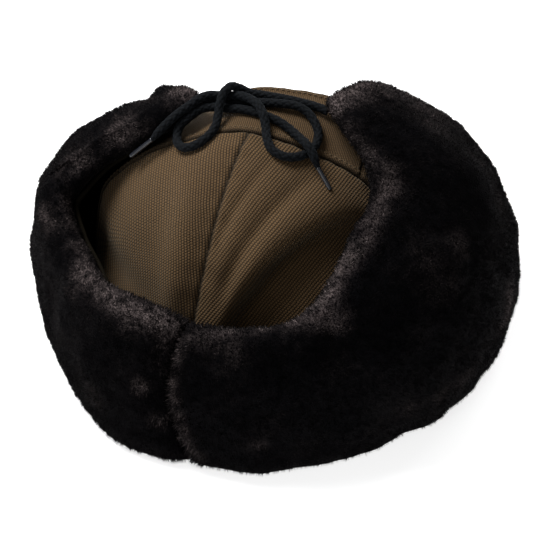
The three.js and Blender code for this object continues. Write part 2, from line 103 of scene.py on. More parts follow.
LEFT_FLAP_ROWS = np.array([
    [-139, 102, -139, 102, 26, -139, 93, 46, -139, 84, 62, 6],
    [-131, 103, -131, 103, 28, -131, 91, 56, -132, 79, 76, 6],
    [-122, 104, -122, 104, 32, -122, 86, 63, -124, 67, 93, 5.5],
    [-112, 105, -112, 106, 37, -111, 81, 70, -112, 47, 110, 5.5],
    [-103, 105, -103, 107, 40, -101, 85, 78, -97, 38, 119, 5.5],
    [-96, 105, -96, 109, 42, -93, 90, 84, -83, 44, 118, 6],
    [-90, 105, -90, 110, 42, -87, 95, 83, -76, 59, 112, 6],
    [-84, 105, -84, 110, 42, -82, 101, 77, -75.5, 76, 103, 6],
    [-78, 105, -78, 110, 40, -77, 105, 69, -74, 91, 94, 6.5],
    [-72, 105, -72, 110, 38, -72, 108, 62, -71, 103, 85, 7.5],
    [-62, 106, -62, 110, 36, -62, 108, 58, -62, 104, 77, 10],
    [-52, 107, -52, 110, 34, -52, 107, 56, -52, 103, 74, 10],
    [-41, 110, -41, 113, 32, -41, 111, 54, -41, 106, 75, 10],
    [-30, 115, -30, 116, 32, -30, 112, 54, -29, 102, 77, 10],
    [-20, 116, -20, 115, 32, -20, 111, 54, -20, 101, 77, 10],
    [-9.4, 112, -15, 111, 34, -15, 108, 56, -13, 102, 75, 10],
], dtype=float)
PEAK_ROWS = np.array([
    [144, 101, 144, 100, 20, 144, 93, 38, 144, 85, 52, 8],
    [154, 101, 154, 99, 21, 154, 89, 42, 154, 77, 58, 8],
    [168, 102, 168, 99, 22, 168, 86, 44, 168, 71, 62, 8],
    [180, 102, 180, 99, 22, 180, 85, 44, 180, 69, 63, 8],
    [192, 102, 192, 99, 22, 192, 86, 44, 192, 71, 62, 8],
    [206, 101, 206, 99, 21, 206, 89, 42, 206, 77, 58, 8],
    [216, 101, 216, 100, 20, 216, 93, 38, 216, 85, 52, 8],
], dtype=float)

# Routes of the two laces, out of the ear tips, through the bow and down to their free ends
LEFT_LACE_ROUTE = np.array([
    [-37.2, 5.2, 119], [-33.5, 5.2, 119], [-29, 4.6, 118.8], [-24, 4.1, 119.9], [-18, 3.9, 121.6],
    [-11.5, 4.1, 122.6], [-5, 4.2, 123.4], [2, 4.4, 123.8], [8, 4.5, 123.3], [13, 3.2, 122],
    [17.5, -0.5, 119.8], [20.4, -5.4, 117.4], [20.7, -11.4, 116], [18.4, -17.4, 115.7],
    [13.7, -22.4, 116.2], [8, -24.6, 117.4], [2.3, -23.2, 119], [-1.2, -18.4, 120.7],
    [-3.2, -12.4, 122.8], [-5.4, -7.6, 126.1], [-8.8, -3, 127.4], [-13, 0.8, 126.9],
    [-18.5, 3.6, 125.9], [-24, 4.6, 124.3], [-29.5, 4.8, 123.2], [-34, 3.7, 123.4], [-38.2, 0.4, 123],
    [-42, -3.8, 121.5], [-45.5, -7.3, 120], [-48.8, -10.7, 117.9], [-52.6, -14.2, 114.4],
    [-56.6, -17.4, 109.8],
])
RIGHT_LACE_ROUTE = np.array([
    [22.4, 6.9, 120.6], [18.3, 8.2, 121], [13.5, 8.8, 121.6], [7.5, 9.1, 122.2], [1, 9.2, 122.8],
    [-5, 9.3, 123], [-10.5, 9.4, 123.2], [-15.5, 8.8, 123.8], [-20, 8.2, 126.4], [-23.7, 5.7, 128.9],
    [-26, 1.6, 128.6], [-27, -2.6, 125.6], [-27, -7, 122.2], [-26.9, -11.4, 120.1], [-28, -16, 118.6],
    [-30.8, -20.4, 117], [-35, -23.2, 114.9], [-39.8, -22.8, 112.4], [-43.6, -19.4, 111.2],
    [-45.2, -14.8, 111.6], [-45, -10.6, 114], [-42, -7.2, 116.6], [-37.4, -2.4, 118.8], [-31.4, 0.2, 119.4],
    [-24.5, -0.5, 120.5], [-17, -1.6, 122.2], [-9.5, -3.2, 122.8], [-3.5, -4.8, 122.6],
    [2.5, -6.4, 121.6], [8, -9.2, 120.3], [13.2, -13.6, 120.2], [17.8, -18.2, 120.4],
    [21.3, -21.4, 117.3], [23.8, -23.8, 112.8],
])


class Side(Enum):
    """Half of the crown: towards the neck or towards the front peak."""

    NECK = "neck"
    PEAK = "peak"


# Plain shape helpers


def lerp(a: Array, b: Array, share: Array) -> Array:
    """Straight mix of a and b by a share."""
    return a + (b - a) * share


def smoothstep(x: Array, low: float, high: float) -> Array:
    """Smooth rise from 0 at low to 1 at high."""
    t = np.clip((x - low) / (high - low), 0, 1)
    return t * t * (3 - 2 * t)


def bell(x: Array, width: float) -> Array:
    """Bell curve: 1 at zero, falling off on both sides over a width."""
    return np.exp(-((x / width) ** 2))


def spans(points: Array, axis: int) -> Array:
    """Lengths of a grid's lines along an axis, each the sum of its straight steps."""
    return np.linalg.norm(np.diff(points, axis=axis), axis=-1).sum(axis=axis)


def lengths_along(path: Array) -> Array:
    """Length of a path from its start to each of its points."""
    return np.concatenate([[0], np.cumsum(np.linalg.norm(np.diff(path, axis=0), axis=1))])


def unit(vectors: Array) -> Array:
    """The vectors at length one."""
    return vectors / np.maximum(np.linalg.norm(vectors, axis=-1, keepdims=True), 1e-9)


def polar(deg: Array, radius: Array, z: Array) -> Array:
    """Point at an angle from the neck, a radius from the axis and a height.

    Args:
        deg: angles in degrees.
        radius: radii in millimetres.
        z: heights in millimetres.

    Returns:
        Points, one row each.
    """
    angle = np.radians(deg)
    return np.stack([radius * np.sin(angle), -radius * np.cos(angle), z + 0 * angle], axis=-1)


def row_at(rows: Array, place: Array) -> Array:
    """Values of a table between its rows: the cubic through all rows with their mean slopes.

    Args:
        rows: table, one row for each whole place.
        place: places, in rows.

    Returns:
        The table's columns at each place.
    """
    padded = np.vstack([2 * rows[0] - rows[1], rows, 2 * rows[-1] - rows[-2]])
    i = np.clip(np.floor(place).astype(int), 0, len(rows) - 2)
    f = (place - i)[..., None]
    before, a, b, after = (padded[i + k] for k in range(4))
    slope_a, slope_b = (b - before) / 2, (after - a) / 2
    bend = 2 * a - 2 * b + slope_a + slope_b
    turn = -3 * a + 3 * b - 2 * slope_a - slope_b
    return ((bend * f + turn) * f + slope_a) * f + a


def curve_at(points: Array, t: Array) -> Array:
    """Centripetal curve through points: cubics whose knots are the roots of the gaps.

    Args:
        points: (..., count, 3) points of each curve.
        t: place on each curve, 0 to 1, of the shape of the leading axes.

    Returns:
        One point for each place.
    """
    count = points.shape[-2]
    place = np.clip(t, 0, 1) * (count - 1)
    i = np.minimum(np.floor(place).astype(int), count - 2)
    f = (place - i)[..., None]
    first = 2 * points[..., :1, :] - points[..., 1:2, :]
    last = 2 * points[..., -1:, :] - points[..., -2:-1, :]
    padded = np.concatenate([first, points, last], axis=-2)
    if padded.ndim == 2:
        p0, p1, p2, p3 = (padded[i + k] for k in range(4))
    else:
        p0, p1, p2, p3 = (
            np.take_along_axis(padded, (i + k)[..., None, None], axis=-2)[..., 0, :] for k in range(4)
        )
    d0, d1, d2 = (
        np.sqrt(np.linalg.norm(b - a, axis=-1, keepdims=True)) for a, b in ((p0, p1), (p1, p2), (p2, p3))
    )
    slope_a = ((p1 - p0) / d0 - (p2 - p0) / (d0 + d1) + (p2 - p1) / d1) * d1
    slope_b = ((p2 - p1) / d1 - (p3 - p1) / (d1 + d2) + (p3 - p2) / d2) * d1
    bend = 2 * p1 - 2 * p2 + slope_a + slope_b
    turn = -3 * p1 + 3 * p2 - 2 * slope_a - slope_b
    return ((bend * f + turn) * f + slope_a) * f + p1


def normal_at(surface: Surface, u: Array, v: Array, step: float = SLOPE_STEP) -> Array:
    """Outward normal of a surface: its slope along crossed with its slope up.

    Args:
        surface: function of two places that gives points.
        u: places along.
        v: places up.
        step: half of the span of each slope.

    Returns:
        Unit normals.
    """
    along = surface(u + step, v) - surface(u - step, v)
    up = surface(u, v + step) - surface(u, v - step)
    return unit(np.cross(along, up))


def ripple(points: Array, length: float, seed: int, waves: int = 22) -> Array:
    """Soft random relief: a sum of sine waves in random directions, about -1 to 1.

    Args:
        points: places in millimetres.
        length: mean wave length in millimetres.
        seed: seed of the directions and phases.
        waves: how many waves are summed.

    Returns:
        Relief at each point.
    """
    rng = np.random.default_rng(seed)
    turns = unit(rng.normal(size=(waves, 3))) * (2 * np.pi / length)
    turns *= rng.uniform(0.7, 1.5, size=(waves, 1))
    phase = rng.uniform(0, 2 * np.pi, waves)
    flat = points.reshape(-1, 3)
    total = np.zeros(len(flat))
    for direction, start in zip(turns, phase):
        total += np.sin(flat @ direction + start)
    return (total / math.sqrt(waves)).reshape(points.shape[:-1])


# Meshes


@dataclass
class Shell:
    """Vertices in millimetres with faces of three and four corners, and their dressings."""

    points: Array
    quads: Array
    triangles: Array
    uv: Array | None = None
    tone: Array | None = None
    normals: Array | None = None

    def corners(self) -> Array:
        """Triangles that cover the shell, with each four-cornered face cut in two."""
        q = self.quads
        return np.vstack([q[:, [0, 1, 2]], q[:, [0, 2, 3]], self.triangles])

    def to_object(self, name: str, smooth: bool = True) -> bpy.types.Object:
        """Puts the shell into a new object in the scene, in metres.

        Args:
            name: name of the object.
            smooth: whether the faces are shaded smooth.

        Returns:
            The new object.
        """
        places = (self.points + AXIS_MM) * MM
        mesh = bpy.data.meshes.new(name)
        loops = np.concatenate([self.quads.ravel(), self.triangles.ravel()]).astype(np.int32)
        totals = np.concatenate([np.full(len(self.quads), 4), np.full(len(self.triangles), 3)])
        mesh.vertices.add(len(places))
        mesh.vertices.foreach_set("co", places.astype(np.float32).ravel())
        mesh.loops.add(len(loops))
        mesh.loops.foreach_set("vertex_index", loops)
        mesh.polygons.add(len(totals))
        mesh.polygons.foreach_set("loop_start", (np.cumsum(totals) - totals).astype(np.int32))
        mesh.polygons.foreach_set("use_smooth", np.full(len(totals), smooth))
        if self.uv is not None:
            layer = mesh.uv_layers.new(name="grain")
            layer.data.foreach_set("uv", self.uv[loops].astype(np.float32).ravel())
        mesh.update(calc_edges=True)
        mesh.validate()
        if self.tone is not None:
            tone = mesh.attributes.new("tone", "FLOAT", "POINT")
            tone.data.foreach_set("value", self.tone.astype(np.float32))
        if self.normals is not None:
            mesh.normals_split_custom_set_from_vertices(self.normals.astype(np.float32))
        piece = bpy.data.objects.new(name, mesh)
        bpy.context.scene.collection.objects.link(piece)
        return piece


def join_shells(shells: list[Shell]) -> Shell:
    """One shell with the vertices and faces of all.

    Args:
        shells: shells with the same dressings.

    Returns:
        The joined shell.
    """
    starts = np.cumsum([0] + [len(s.points) for s in shells[:-1]])
    stacked = {
        name: None if getattr(shells[0], name) is None else np.concatenate([getattr(s, name) for s in shells])
        for name in ("points", "uv", "tone", "normals")
    }
    return Shell(
        quads=np.vstack([s.quads + start for s, start in zip(shells, starts)]),
        triangles=np.vstack([s.triangles + start for s, start in zip(shells, starts)]),
        **stacked,
    )


def loft(loops: Array, closed_ends: bool = True) -> Shell:
    """Closed solid between equal loops of points, with each end zipped shut side to side.

    Args:
        loops: (loops, points, 3) points, each loop running round one section.
        closed_ends: whether the first and last loops are zipped shut.

    Returns:
        The shell, its faces outward where the CAD's loops run the same way.
    """
    count, size = loops.shape[:2]
    k = np.arange(size)
    i = np.arange(count - 1)[:, None]
    nxt = (k + 1) % size
    here, ahead = i * size, (i + 1) * size
    quads = np.stack([here + k, ahead + k, ahead + nxt, here + nxt], axis=-1).reshape(-1, 4)
    triangles = np.zeros((0, 3), dtype=int)
    if closed_ends:
        near = np.arange(size // 2 - 1)
        far = size - 1 - near
        cap = np.stack([near, near + 1, far - 1, far], axis=-1)
        end = (count - 1) * size
        quads = np.vstack([quads, cap, cap[:, ::-1] + end])
        if size % 2:
            mid = size // 2
            triangles = np.array([[mid - 1, mid, mid + 1], [end + mid + 1, end + mid, end + mid - 1]])
    return Shell(loops.reshape(-1, 3), quads, triangles)


def tube(centres: Array, radii: Array) -> Shell:
    """Round tube: a ring of points at each centre, across the path, and a pole at each end.

    Args:
        centres: points of the path.
        radii: (rings, sides) distances of the skin from the path.

    Returns:
        The closed tube.
    """
    rings, sides = radii.shape
    ahead = unit(np.gradient(centres, axis=0))
    aside = unit(np.cross(ahead, [0.0, 0.0, 1.0]))
    upward = np.cross(aside, ahead)
    angle = 2 * np.pi * np.arange(sides) / sides
    spokes = aside[:, None] * np.cos(angle)[:, None] + upward[:, None] * np.sin(angle)[:, None]
    skin = (centres[:, None] + spokes * radii[..., None]).reshape(-1, 3)
    i = np.arange(rings - 1)[:, None] * sides
    k = np.arange(sides)
    nxt = (k + 1) % sides
    quads = np.stack([i + k, i + nxt, i + sides + nxt, i + sides + k], axis=-1).reshape(-1, 4)
    first, last = rings * sides, rings * sides + 1
    end = (rings - 1) * sides
    near = np.stack([nxt, k, np.full(sides, first)], axis=-1)
    far = np.stack([end + k, end + nxt, np.full(sides, last)], axis=-1)
    points = np.vstack([skin, centres[:1], centres[-1:]])
    return Shell(points, quads[:, ::-1], np.vstack([near[:, ::-1], far[:, ::-1]]))


# Finishes


class Nodes:
    """Short hand for building one material's node tree."""

    def __init__(self, name: str) -> None:
        """Starts a material with one Principled shader.

        Args:
            name: name of the material.
        """
        self.material = bpy.data.materials.new(name)
        self.material.use_nodes = True
        self.tree = self.material.node_tree
        self.shader = self.tree.nodes["Principled BSDF"]

    def add(self, kind: str, **values: object) -> bpy.types.Node:
        """Adds a node and sets its options and unlinked inputs.

        Args:
            kind: node type, without the shader prefix.
            values: options by name, and inputs by their label.

        Returns:
            The node.
        """
        node = self.tree.nodes.new("ShaderNode" + kind)
        for key, value in values.items():
            if hasattr(node, key):
                setattr(node, key, value)
            else:
                node.inputs[key.replace("_", " ")].default_value = value
        return node

    def link(self, source: bpy.types.NodeSocket, target: bpy.types.NodeSocket) -> None:
        """Links an output to an input."""
        self.tree.links.new(source, target)

    def sums(self, operation: str, a: object, b: object = None) -> bpy.types.NodeSocket:
        """Math node on two numbers or sockets.

        Args:
            operation: the node's operation.
            a: first number or socket.
            b: second number or socket.

        Returns:
            The result's socket.
        """
        node = self.add("Math", operation=operation)
        for i, value in enumerate((a, b)):
            if isinstance(value, bpy.types.NodeSocket):
                self.link(value, node.inputs[i])
            elif value is not None:
                node.inputs[i].default_value = value
        return node.outputs[0]

    def blend(self, share: object, low: object, high: object) -> bpy.types.NodeSocket:
        """Colour mix by a share.

        Args:
            share: number or socket, 0 to 1.
            low: colour or socket at 0.
            high: colour or socket at 1.

        Returns:
            The mixed colour's socket.
        """
        node = self.add("Mix", data_type="RGBA")
        for socket, value in zip((node.inputs[0], node.inputs[6], node.inputs[7]), (share, low, high)):
            if isinstance(value, bpy.types.NodeSocket):
                self.link(value, socket)
            elif isinstance(value, tuple):
                socket.default_value = (*value, 1.0)
            else:
                socket.default_value = value
        return node.outputs[2]

    def noise(
        self,
        coordinates: bpy.types.NodeSocket,
        scale: float,
        detail: float = 2.0,
    ) -> bpy.types.NodeSocket:
        """Noise texture's value.

        Args:
            coordinates: where the noise is read.
            scale: cells in a metre.
            detail: octaves of finer noise.

        Returns:
            The value's socket, 0 to 1.
        """
        node = self.add("TexNoise", Scale=scale, Detail=detail)
        self.link(coordinates, node.inputs["Vector"])
        return node.outputs["Fac"]

    def place(self) -> bpy.types.NodeSocket:
        """Place on the object, in metres."""
        return self.add("TexCoord").outputs["Object"]

    def bump(self, height: bpy.types.NodeSocket, depth: float, strength: float) -> None:
        """Bump of the given depth in metres on the shader.

        Args:
            height: socket of the relief, 0 to 1.
            depth: depth of the relief in metres.
            strength: share of the bump that shows.
        """
        node = self.add("Bump", Distance=depth, Strength=strength)
        self.link(height, node.inputs["Height"])
        self.link(node.outputs["Normal"], self.shader.inputs["Normal"])

    def shine(
        self,
        roughness: float,
        specular: float,
        sheen: float,
        sheen_roughness: float,
        tint: tuple,
    ) -> None:
        """Constant gloss and sheen on the shader's own sockets.

        Args:
            roughness: how dull the surface is, 0 to 1.
            specular: strength of its gloss.
            sheen: strength of the soft light along its edges.
            sheen_roughness: how far that light spreads.
            tint: colour of that light.
        """
        self.shader.inputs["Roughness"].default_value = roughness
        self.shader.inputs["Specular IOR Level"].default_value = specular
        self.shader.inputs["Sheen Weight"].default_value = sheen
        self.shader.inputs["Sheen Roughness"].default_value = sheen_roughness
        self.shader.inputs["Sheen Tint"].default_value = (*tint, 1.0)


@dataclass(frozen=True)
class WaffleCloth:
    """Woven cloth in close ribs: raised beads along each rib, with painted shade in the grooves between them.
    """

    name: str = "waffle_cloth"
    lit: tuple = (0.147, 0.084, 0.0345)
    # groove: near-black colour of painted shade in the weave's grooves
    groove: tuple = (0.008, 0.0055, 0.0025)
    rib_mm: float = 1.36
    bead_mm: float = 1.25
    rib_power: float = 0.9
    rung_power: float = 0.5
    relief: float = 0.00042
    wander_scale: float = 0.06
    wander_mm: float = 1.6
    cloud_scale: float = 34.0
    cloud_low: float = 0.84
    cloud_high: float = 1.14
    fuzz_scale: float = 2600.0
    fuzz_share: float = 0.35

    def make(self) -> bpy.types.Material:
        """Ribs are sine humps on the grain map, and beads along them step by half from rib to rib.

        Returns:
            The finish of the crown's cloth.
        """
        n = Nodes(self.name)
        grain = n.add("UVMap", uv_map="grain").outputs["UV"]
        wander = n.add("TexNoise", Scale=self.wander_scale, Detail=1.0)
        n.link(grain, wander.inputs["Vector"])
        axes = n.add("SeparateXYZ")
        n.link(grain, axes.inputs[0])
        drift = n.sums("MULTIPLY", n.sums("SUBTRACT", wander.outputs["Fac"], 0.5), self.wander_mm)
        across, along = (n.sums("ADD", axes.outputs[i], drift) for i in range(2))
        column = n.sums("FLOOR", n.sums("DIVIDE", across, self.rib_mm))
        step = n.sums("MULTIPLY", n.sums("MODULO", column, 2.0), math.pi / 2)
        rib = n.sums("ABSOLUTE", n.sums("SINE", n.sums("MULTIPLY", across, math.pi / self.rib_mm)))
        turns = n.sums("ADD", n.sums("MULTIPLY", along, math.pi / self.bead_mm), step)
        rung = n.sums("ABSOLUTE", n.sums("SINE", turns))
        round_rib, round_rung = n.sums("POWER", rib, self.rib_power), n.sums("POWER", rung, self.rung_power)
        height = n.sums("MULTIPLY", round_rib, round_rung)
        place = n.place()
        cloudy = n.noise(place, self.cloud_scale, 3.0)
        low, high = (tuple(share * c for c in self.lit) for share in (self.cloud_low, self.cloud_high))
        lit = n.blend(cloudy, low, high)
        tone = n.add("Attribute", attribute_name="tone").outputs["Fac"]
        # Painted shade: the weave's low places, and the seams' painted shade, mix towards the near-black
        # groove colour
        colour = n.blend(n.sums("MULTIPLY", height, tone), self.groove, lit)
        n.link(colour, n.shader.inputs["Base Color"])
        fuzz = n.sums("MULTIPLY", n.noise(place, self.fuzz_scale, 1.0), self.fuzz_share)
        n.bump(n.sums("ADD", height, fuzz), self.relief, 0.9)
        n.shine(0.82, 0.22, 0.12, 0.45, (0.9, 0.8, 0.62))
        return n.material


@dataclass(frozen=True)
class PlainCloth:
    """Close plain weave, for the facings, darkened to near black as painted shade."""

    name: str = "facing_cloth"
    # Painted shade: both colours are far darker than the crown's cloth, and the blend darkens the thread
    # hollows too
    lit: tuple = (0.011, 0.009, 0.006)
    dark: tuple = (0.004, 0.0032, 0.0022)
    pitch_mm: float = 0.8
    cloud_scale: float = 60.0
    relief: float = 0.00015

    def make(self) -> bpy.types.Material:
        """Threads are crossed sine waves on the grain map.

        Returns:
            The finish of the facings.
        """
        n = Nodes(self.name)
        axes = n.add("SeparateXYZ")
        n.link(n.add("UVMap", uv_map="grain").outputs["UV"], axes.inputs[0])
        turns = 2 * math.pi / self.pitch_mm
        warp, weft = (n.sums("SINE", n.sums("MULTIPLY", axes.outputs[i], turns)) for i in range(2))
        height = n.sums("ADD", n.sums("MULTIPLY", n.sums("MULTIPLY", warp, weft), 0.5), 0.5)
        place = n.place()
        soft = n.sums("MULTIPLY", n.sums("ADD", height, n.noise(place, self.cloud_scale)), 0.5)
        n.link(n.blend(soft, self.dark, self.lit), n.shader.inputs["Base Color"])
        n.bump(height, self.relief, 0.7)
        n.shine(0.95, 0.02, 0.0, 0.5, (0.8, 0.75, 0.65))
        return n.material


@dataclass(frozen=True)
class Plush:
    """Dense short pile: near black at the roots, with grey-brown painted highlights where the tips catch
    light.
    """

    name: str = "plush"
    root: tuple = (0.0008, 0.0008, 0.0012)
    tip: tuple = (0.165, 0.132, 0.128)
    sheen: float = 0.025
    speckle_scale: float = 1100.0
    speckle_gain: float = 4.4
    speckle_cut: float = 1.3
    speckle_least: float = 0.08
    relief_scale: float = 1300.0
    relief: float = 0.0007

    def make(self) -> bpy.types.Material:
        """The piece's tone, which carries its painted highlights and painted shade, broken up by fine noise,
        mixes the root and tip colours.

        Returns:
            The finish of the fur.
        """
        n = Nodes(self.name)
        tone = n.add("Attribute", attribute_name="tone").outputs["Fac"]
        place = n.place()
        fine = n.sums("MULTIPLY", n.noise(place, self.speckle_scale, 2.0), self.speckle_gain)
        speckle = n.sums("MAXIMUM", n.sums("ADD", fine, -self.speckle_cut), self.speckle_least)
        share = n.sums("MINIMUM", n.sums("MULTIPLY", tone, speckle), 1.0)
        # Painted light: the tone lifts the near-black root colour towards the lit tip colour
        n.link(n.blend(share, self.root, self.tip), n.shader.inputs["Base Color"])
        n.bump(n.noise(place, self.relief_scale, 1.0), self.relief, 0.8)
        n.shine(0.8, 0.02, self.sheen, 0.3, (0.8, 0.72, 0.72))
        return n.material


@dataclass(frozen=True)
class BraidYarn:
    """Slate yarn of the round braided lace, with painted shade between its strands."""

    name: str = "braid_yarn"
    dark: tuple = (0.0005, 0.0007, 0.0010)
    lit: tuple = (0.0040, 0.0054, 0.0074)
    fibre_scale: float = 1800.0
    fray: float = 0.7
    fray_least: float = 0.6
    relief: float = 0.0003

    def make(self) -> bpy.types.Material:
        """The braid's relief mixes the colours, painting shade between the strands, and fine noise frays
        them.

        Returns:
            The finish of the laces.
        """
        n = Nodes(self.name)
        tone = n.add("Attribute", attribute_name="tone").outputs["Fac"]
        place = n.place()
        fibre = n.noise(place, self.fibre_scale, 2.0)
        frayed = n.sums("ADD", n.sums("MULTIPLY", fibre, self.fray), self.fray_least)
        share = n.sums("MULTIPLY", tone, frayed)
        n.link(n.blend(share, self.dark, self.lit), n.shader.inputs["Base Color"])
        n.bump(fibre, self.relief, 0.7)
        n.shine(0.8, 0.12, 0.03, 0.4, (0.7, 0.8, 0.9))
        return n.material


@dataclass(frozen=True)
class AgletPlastic:
    """Glossy black plastic with faint streaks along it."""

    name: str = "aglet_plastic"
    colour: tuple = (0.005, 0.006, 0.009)
    streak_scale: float = 500.0
    streak_lift: float = 2.2
    rough_low: float = 0.16
    rough_span: float = 0.12
    coat: float = 0.6
    coat_roughness: float = 0.08

    def make(self) -> bpy.types.Material:
        """Noise varies the colour and the roughness a little over a near-black plastic.

        Returns:
            The finish of the aglets.
        """
        n = Nodes(self.name)
        place = n.place()
        streak = n.noise(place, self.streak_scale)
        lifted = tuple(self.streak_lift * c for c in self.colour)
        n.link(n.blend(streak, self.colour, lifted), n.shader.inputs["Base Color"])
        rough = n.sums("ADD", n.sums("MULTIPLY", streak, self.rough_span), self.rough_low)
        n.link(rough, n.shader.inputs["Roughness"])
        n.shader.inputs["Coat Weight"].default_value = self.coat
        n.shader.inputs["Coat Roughness"].default_value = self.coat_roughness
        return n.material


@dataclass(frozen=True)
class Thread:
    """Sewing thread, a little lighter than the cloth."""

    name: str = "sewing_thread"
    colour: tuple = (0.12, 0.078, 0.036)
    fibre_scale: float = 1500.0
    dark_share: float = 0.5

    def make(self) -> bpy.types.Material:
        """Fine noise varies the thread's colour.

        Returns:
            The finish of the stitches.
        """
        n = Nodes(self.name)
        fibre = n.noise(n.place(), self.fibre_scale)
        dark = tuple(self.dark_share * c for c in self.colour)
        n.link(n.blend(fibre, dark, self.colour), n.shader.inputs["Base Color"])
        n.shine(0.6, 0.3, 0.1, 0.4, (1.0, 0.9, 0.8))
        return n.material


@dataclass(frozen=True)
class StudioFloor:
    """Plain white floor."""

    name: str = "studio_floor"
    colour: tuple = (0.93, 0.93, 0.93)
    glow: float = 0.75

    def make(self) -> bpy.types.Material:
        """Matt white that glows a little, so that it stays even to its edges.

        Returns:
            The finish of the floor.
        """
        n = Nodes(self.name)
        n.shader.inputs["Base Color"].default_value = (*self.colour, 1.0)
        n.shader.inputs["Roughness"].default_value = 1.0
        n.shader.inputs["Specular IOR Level"].default_value = 0.0
        n.shader.inputs["Emission Color"].default_value = (1.0, 1.0, 1.0, 1.0)
        n.shader.inputs["Emission Strength"].default_value = self.glow
        return n.material


# Studio


@dataclass
class Studio:
    """Camera at the photograph's angle, white surroundings and soft lights."""

    target: tuple = (-0.0036, 0.0177, 0.004)
    distance: float = 1.4
    azimuth_deg: float = 12.0
    elevation_deg: float = 44.0
    lens_mm: float = 183.3
    sensor_mm: float = 36.0
    floor_half: float = 3.0
    sky_strength: float = 0.2

    def build_camera(self) -> None:
        """The camera stands back from the target along the photograph's line of sight."""
        azimuth, elevation = math.radians(self.azimuth_deg), math.radians(self.elevation_deg)
        back = Vector((
            math.sin(azimuth) * math.cos(elevation),
            -math.cos(azimuth) * math.cos(elevation),
            math.sin(elevation),
        ))
        data = bpy.data.cameras.new("camera")
        data.lens = self.lens_mm
        data.sensor_width = self.sensor_mm
        camera = bpy.data.objects.new("camera", data)
        camera.location = Vector(self.target) + back * self.distance
        camera.rotation_euler = (-back).to_track_quat("-Z", "Y").to_euler()
        bpy.context.scene.collection.objects.link(camera)
        bpy.context.scene.camera = camera

    def add_light(self, name: str, place: tuple, size: float, power: float) -> None:
        """Square soft light that faces the hat.

        Args:
            name: name of the light.
            place: where it stands, in metres.
            size: its side in metres.
            power: its power in watts.
        """
        data = bpy.data.lights.new(name, "AREA")
        data.size = size
        data.energy = power
        light = bpy.data.objects.new(name, data)
        light.location = place
        light.rotation_euler = Vector(place).to_track_quat("Z", "Y").to_euler()
        bpy.context.scene.collection.objects.link(light)

    def build_set(self) -> None:
        """Floor, white surroundings and three soft lights."""
        square = np.array([[-1, -1, 0], [1, -1, 0], [1, 1, 0], [-1, 1, 0]], dtype=float)
        corners = square * (self.floor_half / MM)
        floor = Shell(corners, np.array([[0, 1, 2, 3]]), np.zeros((0, 3), dtype=int)).to_object("floor")
        floor.data.materials.append(StudioFloor().make())
        world = bpy.data.worlds.new("studio")
        world.use_nodes = True
        world.node_tree.nodes["Background"].inputs["Color"].default_value = (1.0, 1.0, 1.0, 1.0)
        world.node_tree.nodes["Background"].inputs["Strength"].default_value = self.sky_strength
        bpy.context.scene.world = world
        bpy.context.scene.view_settings.view_transform = "Standard"
        self.add_light("key_light", (-0.7, 0.25, 1.35), 0.7, 29.0)
        self.add_light("fill_light", (-0.5, -1.4, 0.9), 1.0, 3.0)
        self.add_light("back_light", (0.5, 1.2, 0.9), 0.8, 7.0)


# Laces


